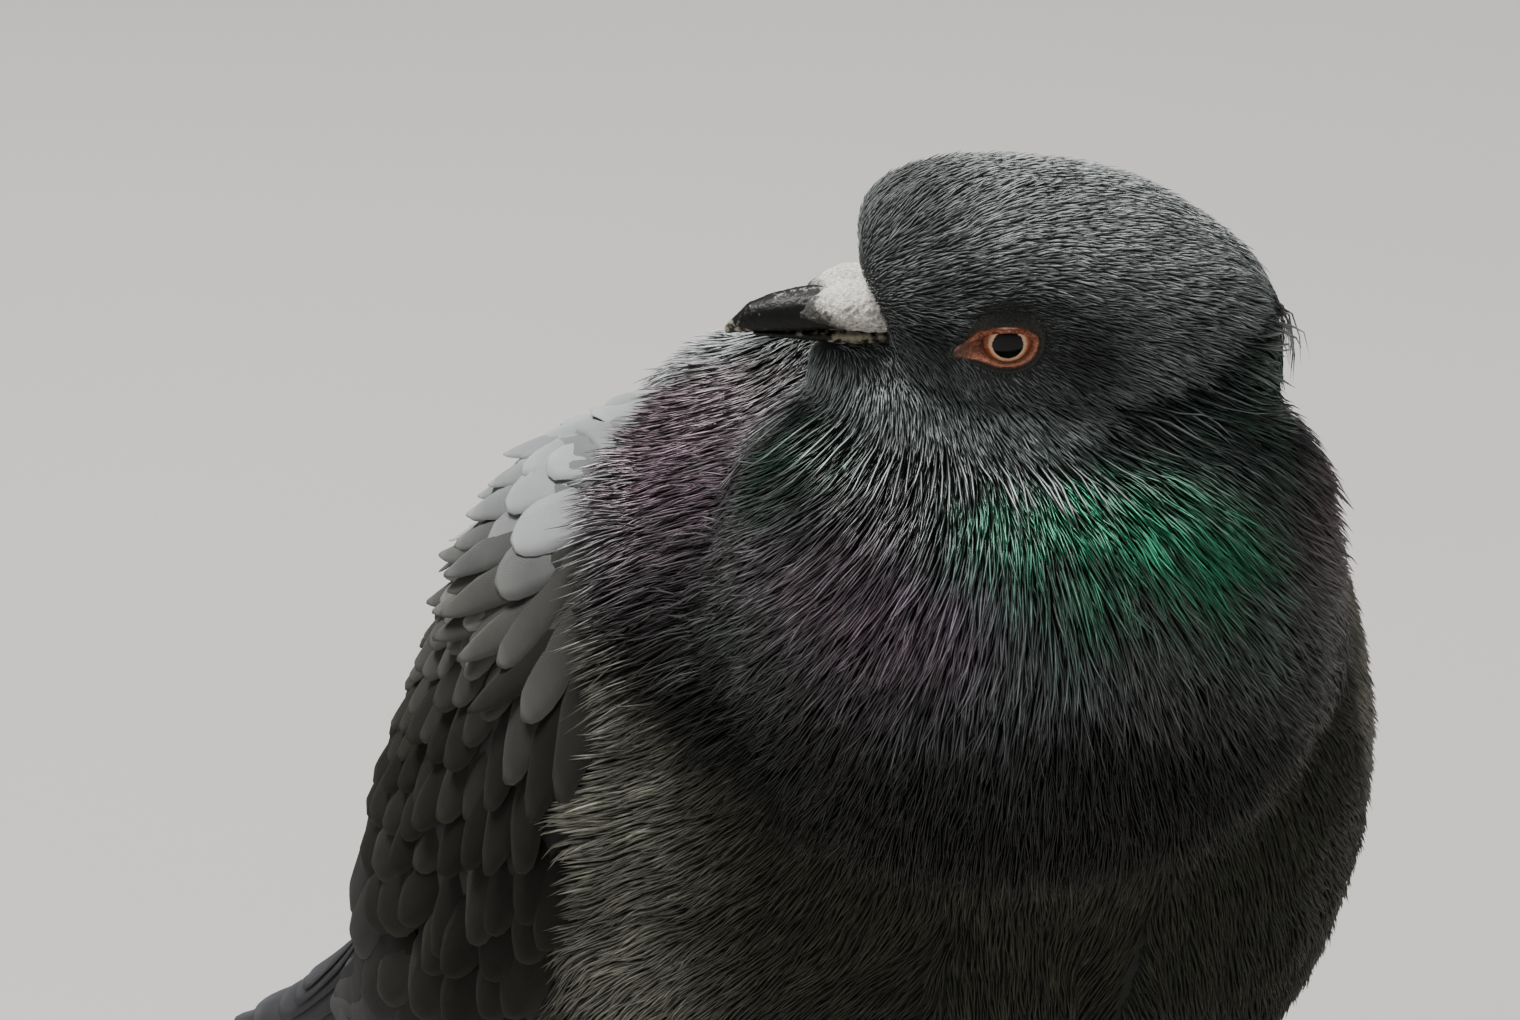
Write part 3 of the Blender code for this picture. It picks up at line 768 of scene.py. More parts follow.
def guidedLie(points, normals):
    # the guides' direction laid on the surface, and how far the guides reach each point
    rel = (points - pupil) / mm
    rows = np.array(lieGuides, float)
    gap = ((rel @ lookRight)[:, None] - rows[:, 0]) ** 2 + ((rel @ lookUp)[:, None] - rows[:, 1]) ** 2
    near = np.exp(-gap / (2 * guideSpread**2)) + 1e-9
    angle = np.radians(rows[:, 2])
    flat = unit(np.stack([near @ np.sin(angle), near @ np.cos(angle)], 1))
    lie = flat[:, :1] * lookRight - flat[:, 1:] * lookUp
    facing = normals @ lookBack
    tip = -dot(lie, normals) / np.maximum(facing, 0.3)
    lie = lie + np.clip(tip, -2, 2)[:, None] * lookBack
    shown = easeStep(0.0, 0.2, facing) * easeStep(-72, -60, rel @ lookBack)
    return lie, shown * easeStep(0.15, 0.5, near.max(1))


def lieAt(points, normals):
    # direction that the feathers point in, along the surface
    local = toHead(points)
    forward, left, up = local.T
    # the head's far side mirrors the near one
    onHead = headness(points) * easeStep(60, 45, np.linalg.norm(points - headCentre, axis=1) / mm)
    mirrored = (left < 0) & (onHead > 0.5)
    flip = np.array((1.0, -1.0, 1.0))
    where, facing = points.copy(), normals.copy()
    where[mirrored] = fromHead(local[mirrored] * flip)
    facing[mirrored] = (normals[mirrored] @ headAxes * flip) @ headAxes.T
    guided, reach = guidedLie(where, facing)
    guided[mirrored] = (guided[mirrored] @ headAxes * flip) @ headAxes.T
    crown = np.exp(-((left / 4) ** 2)) * onHead
    guided = guided - (guided @ headAxes[:, 1] * crown)[:, None] * headAxes[:, 1]
    # elsewhere: away from the bill on the head, down the neck, and back along the body
    fromBill = unit(np.stack([forward - 18.5, 0.25 * left, up - 3.5], 1))
    far = 1 - np.exp(-np.linalg.norm(local - (18.5, 0, 3.5), axis=1) / 20)
    droop = easeStep(2, -24, forward)[:, None] * np.array((0, 0, -1.2))
    headLie = unit(blend(fromBill, (-1.0, 0, 0), far) + droop) @ headAxes.T
    along, _, rise = alongSpine(points)
    outward = np.sign(points[:, :1]) * np.array((1.0, 0, 0)) + np.array((0, 0, 0.45))
    front = easeStep(10, -45, along) * easeStep(32, 14, rise)
    bodyLie = unit(spineAt(along)[1] + outward * front[:, None] * 0.5)
    reachOut = (points / mm - neckBall["middle"]) / np.array(neckBall["reach"])
    offNeck = easeStep(0, 12, (np.linalg.norm(reachOut, axis=1) - 1) * 40)
    lie = blend(unit(blend((0, 0.25, -1.0), bodyLie, offNeck)), headLie, onHead)
    lie = blend(unit(lie), unit(guided), reach * easeStep(35, 5, along))
    # feathers part round the eye
    for side, _ in sides:
        rel = np.stack([forward - head["eye"][0], up - head["eye"][2]], 1)
        gap = np.linalg.norm(rel, axis=1)
        push = np.exp(-(np.maximum(gap - 3.5, 0) / 1.6)) * (left * side > 4)
        lie = lie + rel / gap[:, None] @ headAxes[:, (0, 2)].T * push[:, None] * 0.9
    return unit(lie - normals * dot(lie, normals)[:, None])


def growBlades(roots, look):
    # narrow three-sided blades that lie along the body; sizes in mm
    count, steps = len(roots["place"]), len(look["tone"]) - 1
    length = look["length"] * roots["size"] * (1 + dice.normal(0, 0.12, count)) * mm
    width = look["width"] * roots["size"] ** 0.5 * (1 + dice.normal(0, 0.12, count)) * mm
    place, normal = roots["place"], roots["normal"]
    # neighbouring blades lean together into locks
    lock, heap = softNoise(place, look["lockSize"], 11.0), softNoise(place, look["lockSize"], 23.0)
    swing = dice.normal(0, math.radians(look["swing"]), count) + math.radians(look["lock"]) * lock
    lift = look["lift"] * roots["size"] * (1 + 0.3 * heap + dice.normal(0, look["liftSpread"], count)) * mm
    centres, ups = [place + normal * (-0.25 * mm)], [normal]
    for k in range(1, steps + 1):
        lie = lieAt(place, normal)
        turn = (swing * (0.4 + 0.6 * k / steps))[:, None]
        lie = lie * np.cos(turn) + np.cross(normal, lie) * np.sin(turn)
        place, normal, _ = snap(place + lie * (length / steps)[:, None])
        centres.append(place + normal * (lift * (k / steps) ** 0.85)[:, None])
        ups.append(normal)
    points = []
    for k, share in enumerate(look["shape"]):
        across = np.cross(ups[k], unit(centres[k + 1] - centres[k])) * (width * share / 2)[:, None]
        ridge = ups[k] * (width * share * look["ridge"])[:, None]
        points += [centres[k] - across, centres[k] + ridge, centres[k] + across]
    points = np.stack([*points, centres[-1]], 1)
    each, last = 3 * steps + 1, 3 * (steps - 1)
    faces = [(0, 1, 2)]
    for k in range(steps - 1):
        for i, j in ((0, 1), (1, 2), (2, 0)):
            a, b = 3 * k + i, 3 * k + j
            faces += [(a, a + 3, b + 3), (a, b + 3, b)]
    faces += [(last, each - 1, last + 1), (last + 1, each - 1, last + 2), (last + 2, each - 1, last)]
    faces = np.array(faces)
    triangles = (faces[None] + (np.arange(count) * each)[:, None, None]).reshape(-1, 3)
    # a random tone of each blade's own, plus painted light on the locks that the heap lifts higher
    shade = np.clip(dice.normal(0, look["shadeSpread"], count), -1, 0.35) + 0.25 * heap
    # painted shade on each blade's two edges and a painted highlight along its ridge
    low, high = look["edgeShade"], look["ridgeHighlight"]
    tones = [tone * part for tone in look["tone"][:-1] for part in (low, high, low)] + [look["tone"][-1]]
    colours = (roots["colour"] * np.exp(shade)[:, None])[:, None] * np.array(tones)[:, None]
    local = np.array([(i - 1, k / steps * 2 - 1) for k in range(steps) for i in range(3)] + [(0, 1)])
    patch = roots["uv"][:, None] + local * patchSize
    maps = {"OFBake": patch[:, faces.ravel() % each].reshape(-1, 2)}
    return points.reshape(-1, 3), triangles, colours.reshape(-1, 3), maps


middles = body["points"][body["corners"]].mean(1)
faceShares = easeStep(0.35, 0.65, shares(middles, body["weights"].mean(1)))
headMask, neckMask, trunkMask, wingMask, thighMask = faceShares.T
trunkMask = np.clip(1 - headMask - neckMask - wingMask - thighMask, 0, 1)
faceAlong, faceAcross, faceRise = alongSpine(middles)

# blades of each region: spacing, length, width and lift in mm, swing and lock in degrees
# tones, root to tip: painted shade at the root, painted highlight at the tip; edge and ridge tones paint
# shade on the edges and a highlight on the ridge
blades = {
    "head": {
        "spacing": 0.38, "length": 2.7, "width": 0.27, "lift": 0.6, "liftSpread": 0.3, "swing": 5,
        "lock": 13, "lockSize": 1.6, "ridge": 0.45, "edgeShade": 0.45, "ridgeHighlight": 1.55,
        "shadeSpread": 0.2, "tone": (0.2, 0.75, 1.1, 1.35), "shape": (0.7, 1.0, 0.75),
    },
    "neck": {
        "spacing": 0.50, "length": 8.6, "width": 0.38, "lift": 1.8, "liftSpread": 0.3, "swing": 6,
        "lock": 10, "lockSize": 1.9, "ridge": 0.55, "edgeShade": 0.28, "ridgeHighlight": 1.6,
        "shadeSpread": 0.4, "tone": (0.04, 0.25, 0.85, 1.35, 1.6), "shape": (0.6, 1.0, 0.95, 0.65),
    },
    "breast": {
        "spacing": 0.60, "length": 5.0, "width": 0.34, "lift": 0.9, "liftSpread": 0.25, "swing": 4,
        "lock": 10, "lockSize": 3.0, "ridge": 0.4, "edgeShade": 0.6, "ridgeHighlight": 1.3,
        "shadeSpread": 0.2, "tone": (0.3, 0.8, 1.1, 1.5), "shape": (0.7, 1.0, 0.75),
    },
    "thigh": {
        "spacing": 0.9, "length": 5.0, "width": 0.7, "lift": 1.1, "liftSpread": 0.25, "swing": 6,
        "lock": 8, "lockSize": 3.0, "ridge": 0.3, "edgeShade": 0.8, "ridgeHighlight": 1.1,
        "shadeSpread": 0.15, "tone": (0.5, 0.9, 1.05, 1.15), "shape": (0.7, 1.0, 0.75),
    },
}
barbFleck = (1400, 2, (0.3, 0.8), (0.7, 1.15))
# the skin is painted at a fifth of the coat's colour: painted shade in the gaps between the feathers
paint(skin.data, plumage(getPoints(skin), skinWeights) * 0.2)
finish(skin, paintedMaterial("skinDown", 0.85, 0.5, barbFleck), fleshNodes)
softFeather = paintedMaterial("headFeather", 0.6, 0.2, barbFleck)
glossFeather = paintedMaterial("neckFeather", 0.4, 0.3, barbFleck, metallic=0.2)


def aroundEye(points):
    # distance from the nearer eye's middle over the side of the head, mm
    forward, left, up = toHead(points).T
    gap = np.hypot(forward - head["eye"][0], up - head["eye"][2])
    return np.where(np.abs(left) > 4, gap, 99)


def sizeAt(points):
    # tufts are smallest round the eye and the bill, and grow gradually from the cheek into the hackles
    fromCere = np.linalg.norm(toHead(points) - (20.5, 0, 1.5), axis=1)
    small = (0.4 + 0.6 * easeStep(4, 9, aroundEye(points))) * (0.4 + 0.6 * easeStep(4, 15, fromCere))
    below = belowHead(points)
    hackle = 0.42 + 0.58 * easeStep(1, -11, below)
    onHead = small * (1 + 0.55 * easeStep(9, -1, below))
    onNeck = np.where(below > -14, hackle, 1 + 0.6 * fringeShare(points))
    return np.where(headness(points) > 0.5, onHead, onNeck)


def growCoat(name, density, material, parts=1):
    # the coat of one region, in several pieces where it would be too large for one
    look = blades[name.split("_")[0]]
    roots = rootsWhere(density, look["spacing"])
    roots["size"] = sizeAt(roots["place"])
    print(name, len(roots["place"]))
    for part in range(parts):
        chosen = {key: value[part::parts] for key, value in roots.items()}
        label = name if parts == 1 else f"{name}_{part + 1}"
        finish(meshFrom(label, *growBlades(chosen, look)), material)


growCoat("head_coat", headMask * (aroundEye(middles) > 2.9), softFeather, 2)
# the last hackles lap over the front of the mantle
nape = easeStep(10, 8, beyondCollar(middles)) * easeStep(24, 28, faceRise) * (np.abs(faceAcross) < 26)
growCoat("neck_coat", np.maximum(neckMask, trunkMask * nape), glossFeather, 3)
frontShare = easeStep(30, 5, faceAlong) * easeStep(30, 18, faceRise)
onEdge = wingMask * easeStep(0.84, 0.94, fringeShare(middles))
growCoat("breast_coat", np.maximum(trunkMask * frontShare, onEdge), softFeather, 2)
growCoat("thigh_coat", thighMask, softFeather)

# vanes: broad feathers with a shaft, a thin closed blade each, on these stations and lanes
stations = np.array((0.0, 0.22, 0.44, 0.62, 0.76, 0.87, 0.95, 1.0))
lanes = np.array((-1.0, -0.55, 0.0, 0.55, 1.0))


def vaneOutline(look):
    # share of the half width at each station: from a narrow root to a round or pointed tip
    narrow, blunt, point = look.get("narrow", 0.55), look.get("blunt", 0.6), look.get("point", 0.0)
    wide = narrow + (1 - narrow) * np.clip(stations / 0.4, 0, 1) ** 0.7
    end = np.clip((stations - blunt) / (1 - blunt), 0, 1)
    blunted, sharp = np.sqrt(np.clip(1 - end**2.4, 0.012, 1)), np.clip(1 - end, 0.08, 1) ** 0.9
    return wide * (blunted * (1 - point) + sharp * point)


def closeVanes(top, ups, thickness):
    # top is (feather, station, lane, 3); gives points and triangles of closed blades
    count, rows, columns = top.shape[:3]
    thin = np.full((rows, columns), thickness * mm)
    for edge in (thin[:, 0], thin[:, -1], thin[-1]):
        edge *= 0.35
    under = top - ups * thin[..., None]
    points = np.concatenate([top.reshape(count, -1, 3), under.reshape(count, -1, 3)], 1)
    half = rows * columns
    faces = []
    for k in range(rows - 1):
        for j in range(columns - 1):
            a, d = k * columns + j, (k + 1) * columns + j
            faces += [(a, a + 1, d + 1), (a, d + 1, d)]
            faces += [(half + a, half + d + 1, half + a + 1), (half + a, half + d, half + d + 1)]
    grid = np.arange(half).reshape(rows, columns)
    rim = [*grid[0], *grid[1:, -1], *grid[-1, -2::-1], *grid[-2:0:-1, 0]]
    for a, b in zip(rim, rim[1:] + rim[:1]):
        faces += [(a, half + b, b), (a, half + a, half + b)]
    faces = np.array(faces)
    return points, (faces[None] + (np.arange(count) * 2 * half)[:, None, None]).reshape(-1, 3), faces


def vaneMesh(name, top, ups, look, colour, mark, uv=None, patch=patchSize):
    # colour is one base colour for each feather; mark(along, across, colour) marks it
    points, triangles, faces = closeVanes(top, ups, look.get("thickness", 0.3))
    uv = nearestUv(top[:, 1, 2]) if uv is None else uv
    t, s = np.broadcast_arrays(stations[:, None], lanes[None, :])
    # darker towards the root: painted shade where the next feathers cover it; the under side is a darker
    # copy, painted shade
    marks = mark(t, s, colour[:, None, None, :] * (0.4 * (1 - t) + 1.08 * t)[None, :, :, None])
    colours = np.concatenate([marks, marks * 0.8], 1).reshape(-1, 3)
    flat = np.tile(np.stack([s, t * 2 - 1], -1).reshape(-1, 2), (2, 1))[faces.ravel()]
    bake = uv[:, None, :] + flat * patch
    # the barbs are even on feathers of every size
    real = np.broadcast_to(flat, bake.shape) * 0.5
    real[..., 0] = real[..., 0] * look["width"] / 20 + 0.5
    real[..., 1] = (real[..., 1] + 0.5) * np.reshape(look["length"], (-1, 1)) / 120
    maps = {"OFBake": bake.reshape(-1, 2), "vane": real.reshape(-1, 2)}
    return meshFrom(name, points.reshape(-1, 3), triangles, colours, maps)


def calc(tree, operation, *values):
    return addNode(tree, "Math", *values, operation=operation).outputs[0]


def vaneMaterial(name, roughness, specular, barbs):
    # feather web with slanting barbs either side of the shaft
    made, tree, shader = newMaterial(name, roughness, specular)
    colour = addNode(tree, "Attribute", attribute_name="plumage").outputs["Color"]
    split = addNode(tree, "SeparateXYZ", addNode(tree, "UVMap", uv_map="vane").outputs["UV"])
    side = calc(tree, "ABSOLUTE", calc(tree, "SUBTRACT", split.outputs["X"], 0.5))
    lean = calc(tree, "MULTIPLY_ADD", side, -0.22, split.outputs["Y"])
    wave = calc(tree, "MULTIPLY", lean, 120 / 0.42 * 2 * math.pi)  # a barb each 0.42 mm
    sine = calc(tree, "SINE", calc(tree, "MULTIPLY_ADD", grain(tree, 300, 2), 9.0, wave))
    tinted = multiply(tree, 1.0, colour, ramp(tree, sine, ((0.0, 0.88), (1.0, 1.06))))
    cloud = ramp(tree, grain(tree, 130, 3), ((0.3, 0.85), (0.7, 1.1)))
    feed(tree, shader.inputs["Base Color"], multiply(tree, 1.0, tinted, cloud))
    addBump(tree, shader, sine, 0.25 * barbs, 0.00012)
    return made


def rimOf(gain, start=0.72):
    # a paler rim round the tip of a feather
    def mark(t, s, base):
        edge = np.maximum(easeStep(start, 1.0, np.abs(s)), easeStep(0.9, 1.0, t)) * easeStep(0.2, 0.5, t)
        return base * (1 + (gain - 1) * edge[None, :, :, None])
    return mark


def layOnWing(side, look, along, share):
    # vanes that follow the folded wing; along and share are the places of their roots
    count = len(along)
    length = look["length"] * (1 + dice.normal(0, 0.05, count))
    half = look["width"] / 2 * (1 + dice.normal(0, 0.05, count))
    outline = vaneOutline(look)
    drift = look.get("drift", 0.0) + dice.normal(0, look.get("driftSpread", 0.012), count)
    low, high = look["lift"]
    high = high + dice.normal(0, look.get("liftSpread", 0.12), count)
    bend = look.get("free", 0.0) * np.clip(1 + dice.normal(0, 0.4, count), 0, 2)
    at = along[:, None] + length[:, None] * stations
    middle = share[:, None] + drift[:, None] * stations
    arc = wingPoint(side, at, middle + 0.01, 0.0) - wingPoint(side, at, middle - 0.01, 0.0)
    arc = np.linalg.norm(arc, axis=-1) / 0.02 / mm
    grid = middle[..., None] + (half[:, None] * outline / arc)[..., None] * lanes
    at = np.broadcast_to(at[..., None], grid.shape)
    lift = low + (high[:, None] - low) * stations**0.9 + bend[:, None] * stations**3
    camber = -look.get("camber", 0.5) * lanes**2 + look.get("tilt", 0.25) * lanes + 0.10 * (lanes == 0)
    lift = lift[..., None] + camber * outline[:, None]
    top = wingPoint(side, at, grid, lift)
    ups = unit(wingPoint(side, at, grid, lift + 1.0) - top)
    return top[:, :, ::side], ups[:, :, ::side]


# along the spine (start, step, rows), share of the wing (low, high), length, width, and the level
# between which the roots are kept
wingRows = {
    "lesser": {
        "start": -38, "step": 6.5, "rows": 8, "share": (0.0, 0.92), "length": 18, "width": 8.5, "pitch": 5.2,
        "lift": (-2.1, 1.1), "camber": 0.7, "drift": 0.05, "liftSpread": 0.3, "level": (-99, 101),
        "point": 0.25,
    },
    "median": {
        "start": 10, "step": 9, "rows": 2, "share": (0.02, 1.02), "length": 25, "width": 10.5, "pitch": 6.6,
        "lift": (-2.0, 1.0), "camber": 0.7, "level": (-99, 104),
    },
    "greater": {
        "start": 27, "step": 8, "rows": 1, "share": (0.05, 1.0), "length": 34, "width": 12.5, "pitch": 7.6,
        "lift": (-0.5, 0.9), "tilt": 0.3, "camber": 0.8,
    },
    "secondary": {
        "start": 36, "step": 8, "rows": 1, "share": (0.28, 1.0), "length": 74, "width": 15, "pitch": 6.0,
        "lift": (-0.6, 0.4), "tilt": 0.35, "camber": 0.9, "blunt": 0.8,
    },
    "tertial": {
        "start": 30, "step": 10, "rows": 2, "share": (-0.02, 0.32), "length": 66, "width": 18, "pitch": 8.0,
        "lift": (-0.2, 1.0), "tilt": 0.3, "camber": 1.0, "blunt": 0.72,
    },
    "scapular": {
        "start": -41, "step": 6.5, "rows": 10, "share": (-0.14, 0.85), "length": 27, "width": 8.5,
        "pitch": 5.2, "lift": (-2.2, 1.6), "tilt": 0.4, "camber": 0.9, "drift": -0.07, "liftSpread": 0.35,
        "free": 1.1, "level": (96, 200), "narrow": 0.7, "point": 0.6, "blunt": 0.45,
    },
    "longScapular": {
        "start": -20, "step": 9, "rows": 1, "share": (0.16, 0.34), "length": 31, "width": 5.5, "pitch": 6,
        "lift": (-1.2, 2.2), "tilt": 0.3, "camber": 0.6, "drift": -0.01, "free": 1.6, "point": 0.5,
        "blunt": 0.4,
    },
}


def wingRoots(side, row):
    along, share = [], []
    low, high = row["share"]
    for k in range(row["rows"]):
        at = row["start"] + k * row["step"]
        ends = wingPoint(side, np.full(2, at + 0.35 * row["length"]), np.array([0.45, 0.55]), 0.0)
        arc = np.linalg.norm(ends[1] - ends[0]) * 10 / mm
        count = max(2, int(round(arc * (high - low) / row["pitch"])))
        for i in range(count):
            along.append(at + dice.normal(0, 0.25) * row["step"] * 0.3)
            share.append(low + (high - low) * (i + 0.5 + 0.5 * (k % 2)) / count)
    order = dice.permutation(len(along))
    along, share = np.array(along)[order], np.array(share)[order]
    low, high = row.get("level", (-999, 999))
    level = levelAt(wingPoint(side, along, share, 0.0))
    middle = wingPoint(side, along + row["length"] * 0.5, share, 0.0)
    kept = (level > low) & (level < high) & (fringeShare(middle) < 0.5)
    return along[kept], share[kept]


def makeWing(side, sideName):
    print("wing", sideName)
    pieces = []
    for name, row in wingRows.items():
        along, share = wingRoots(side, row)
        top, ups = layOnWing(side, row, along, share)
        onWing = np.tile((0, 0, 0, 1.0, 0), (len(along), 1))
        colour = plumage(wingPoint(side, along + row["length"] * 0.7, share, 0.0), onWing)
        colour *= np.exp(dice.normal(0, 0.24, len(along)))[:, None]
        pieces.append(vaneMesh(f"{name}_{sideName}", top, ups, row, colour, rimOf(1.5)))
    finish(joinAs(f"wing_coat_{sideName}", pieces), wingVane)


wingVane = vaneMaterial("wingFeather", 0.8, 0.07, 1.0)
bodyVane = vaneMaterial("bodyFeather", 0.65, 0.4, 0.7)
for side, sideName in sides:
    makeWing(side, sideName)

# body vanes: back, rump, flanks, belly and the root of the tail
bodyVanes = {
    "back_coat": {"spacing": 5.2, "length": 15, "width": 8.5, "lift": (-0.4, 1.5), "swing": 5},
    "belly_coat": {"spacing": 4.4, "length": 13, "width": 7.5, "lift": (-0.4, 1.5), "swing": 6},
    "tail_coverts": {"spacing": 5.0, "length": 20, "width": 8.5, "lift": (-0.3, 1.4), "swing": 4},
}


def layOnBody(roots, look):
    place, normal = roots["place"], roots["normal"]
    count, outline = len(place), vaneOutline(look)
    length = look["length"] * (1 + dice.normal(0, 0.06, count)) * mm
    half = look["width"] / 2 * (1 + dice.normal(0, 0.06, count)) * mm
    swing = dice.normal(0, math.radians(look["swing"]), count)[:, None]
    low, high = look["lift"]
    high = high * (1 + dice.normal(0, 0.15, count))
    rows, turned = [], []
    for k, t in enumerate(stations):
        lie = lieAt(place, normal)
        lie = lie * np.cos(swing) + np.cross(lie, normal) * np.sin(swing)
        sideways = np.cross(lie, normal)[:, None]
        offset = (half * outline[k])[:, None] * lanes
        drop = (offset / mm) ** 2 / 90 + 0.3 * lanes**2 * outline[k]
        height = ((low + (high - low) * t**0.9)[:, None] - drop + 0.06 * (lanes == 0)) * mm
        rows.append(place[:, None] + sideways * offset[..., None] + normal[:, None] * height[..., None])
        turned.append(np.repeat(normal[:, None], len(lanes), 1))
        if k + 1 < len(stations):
            place, normal, _ = snap(place + lie * (length * (stations[k + 1] - t))[:, None])
    return np.stack(rows, 1), np.stack(turned, 1)


def growVanes(name, density):
    look = bodyVanes[name]
    roots = rootsWhere(density, look["spacing"])
    top, ups = layOnBody(roots, look)
    print(name, len(top))
    colour = plumage(top[:, -3, 2], roots["weights"]) * (1 + dice.normal(0, 0.06, len(top)))[:, None]
    finish(vaneMesh(name, top, ups, look, colour, rimOf(1.15), roots["uv"]), bodyVane)


def underWing(along, across, rise):
    # 1 where the folded wing covers the body
    halfWidth, toBack = readTable(wingBed, along).T
    upper, lower, _ = readTable(wingEdge, along).T
    angle = np.degrees(np.arctan2(np.abs(across) / halfWidth, rise / toBack))
    return (angle > upper - 1) & (angle < lower - 6) & (along > -24) & (along < 120)


upper = easeStep(0, 12, faceRise)
tailward = easeStep(88, 96, faceAlong)
bodyPart = trunkMask * (1 - frontShare) * (1 - underWing(faceAlong, faceAcross, faceRise))
bodyPart = np.maximum(bodyPart, wingMask * easeStep(-22, -28, faceAlong) * easeStep(20, 28, faceRise))
growVanes("back_coat", bodyPart * upper * (1 - tailward))
growVanes("belly_coat", bodyPart * (1 - upper) * (1 - tailward))
growVanes("tail_coverts", bodyPart * tailward)

# flight feathers, outermost first, and the tail
flight = {
    "count": 7,
    "rootAlong": 88.0,
    "rootShare": (0.9, 0.25),
    "tipAlong": (189.0, 138.0),
    "tipShare": (0.62, 0.35),
    "width": 11.5,
    "lift": (-1.2, 1.3),
    "colour": (0.052, 0.053, 0.058),
}
tail = {
    "count": 6,  # on each side of the middle
    "root": -6.0,
    "tip": 113.0,
    "shorter": 0.26,  # outer feathers end earlier
    "rootSpread": (1.2, 1.9),  # place of the middle one and step to the next
    "tipSpread": (2.2, 2.85),
    "width": 16.8,
    "lift": (1.35, -0.46),
    "arch": 0.012,
    "colour": (0.155, 0.165, 0.18),
    "outermost": (0.22, 0.23, 0.24),
    "band": (0.035, 0.035, 0.038),
}


def makeFlight(side, sideName):
    count, start = flight["count"], flight["rootAlong"]
    keys = ("rootShare", "tipShare", "tipAlong", "lift")
    root, tip, reach, height = (np.linspace(*flight[key], count) for key in keys)
    parts = []
    for k in range(count):
        look = {
            "length": reach[k] - start, "width": flight["width"], "drift": tip[k] - root[k],
            "driftSpread": 0.0, "lift": (height[k] - 0.2, height[k]), "liftSpread": 0.0,
            "blunt": 0.82, "narrow": 0.8, "tilt": 0.15, "camber": 0.35,
        }
        parts.append(layOnWing(side, look, np.array([start]), root[k:k + 1]))
    top, ups = (np.concatenate(part) for part in zip(*parts))
    colour = np.array(flight["colour"]) * (1 + dice.normal(0, 0.08, count))[:, None]
    look = {"length": reach - start, "width": flight["width"], "thickness": 0.35}
    made = vaneMesh(f"flight_{sideName}", top, ups, look, colour, rimOf(1.5, 0.9), patch=0.012)
    finish(made, wingVane, [f"primaries_{sideName}"])


def tailPoint(behind, across, rise):
    place, _, up = spineAt(spine["tailStart"] + behind)
    point = place + up * (rise - tail["arch"] * across**2)[..., None]
    point[..., 0] += across
    return point * mm + bodyShift


def tailBand(t, s, base):
    dark = (easeStep(0.70, 0.75, t) * (1 - 0.45 * easeStep(0.955, 1.0, t)))[None, :, :, None]
    return base * (1 - dark) + np.array(tail["band"]) * dark


def makeTail():
    tops, upsAll, lengths, colours = [], [], [], []
    outline = vaneOutline({"narrow": 0.62, "blunt": 0.86})[:, None]
    for k in range(tail["count"]):
        fromMiddle, toMiddle = (first + step * k for first, step in (tail["rootSpread"], tail["tipSpread"]))
        for side, _ in sides:
            length = tail["tip"] - tail["shorter"] * k**2 - tail["root"]
            behind = (tail["root"] + length * stations)[:, None]
            middle = side * (fromMiddle + (toMiddle - fromMiddle) * stations)
            across = middle[:, None] + outline * lanes * tail["width"] / 2
            lift = tail["lift"][0] + tail["lift"][1] * k + (0.18 if side > 0 else 0.0)
            height = lift + 0.12 * (lanes == 0) - 0.25 * np.abs(lanes)
            top = tailPoint(behind, across, height)
            tops.append(top[:, ::-1])
            upsAll.append(unit(tailPoint(behind, across, height + 1.0) - top)[:, ::-1])
            lengths.append(length)
            colours.append(tail["colour"] if k < 5 else tail["outermost"])
    top, colour = np.stack(tops), np.array(colours)
    look = {"length": np.array(lengths), "width": tail["width"], "thickness": 0.4}
    uv = nearestUv(top[:, 0, 2])
    made = vaneMesh("tail_feathers", top, np.stack(upsAll), look, colour, tailBand, uv, 0.012)
    finish(made, wingVane, ["tail"])


print("flight feathers and tail")
stations = np.array((0.0, 0.15, 0.3, 0.45, 0.58, 0.66, 0.72, 0.76, 0.82, 0.88, 0.93, 0.965, 0.985, 1.0))
for side, sideName in sides:
    makeFlight(side, sideName)
makeTail()

eyeLook = {
    "pupil": 22.0,  # this and the next two in degrees from the middle of the pupil
    "inner": 27.0,
    "iris": 38.0,
    "lidHalfLength": (3.1, 2.9),  # towards the bill and towards the nape, mm
    "lidHalfHeight": (1.6, 2.5),  # above and below
    "rim": 0.8,
    "corner": 3.0,
    # from inside the opening to under the feathers: share of the way out, height above the eyeball
    "lidRows": ((-0.12, -0.25), (0.0, 0.12), (0.2, 0.32), (0.5, 0.36), (0.8, 0.24), (1.02, 0.04),
                (1.2, 0.20), (1.5, 0.26), (1.95, 0.1), (2.5, -0.9)),
    "lidTone": (0.10, 0.25, 0.55, 0.85, 1.0, 0.5, 0.0, 0.0, 0.0, 0.0),  # 0 is the dark colour: painted shade in the crease against the eyeball on the inner rows, bare skin on the outer rows
    # share of pink in each row: the skin's own pink, with painted highlight on the rim's crest
    "lidPinkAndHighlight": (0.0, 0.0, 0.08, 0.5, 0.85, 0.25, 0.0, 0.0, 0.0, 0.0),
    "lidBumps": (0, 0.2, 0.8, 1.1, 1.2, 0.5, 0.2, 0.2, 0.2, 0),
    "lid": (0.27, 0.055, 0.02),
    "pale": (0.66, 0.31, 0.21),
    "bare": (0.028, 0.029, 0.027),
}


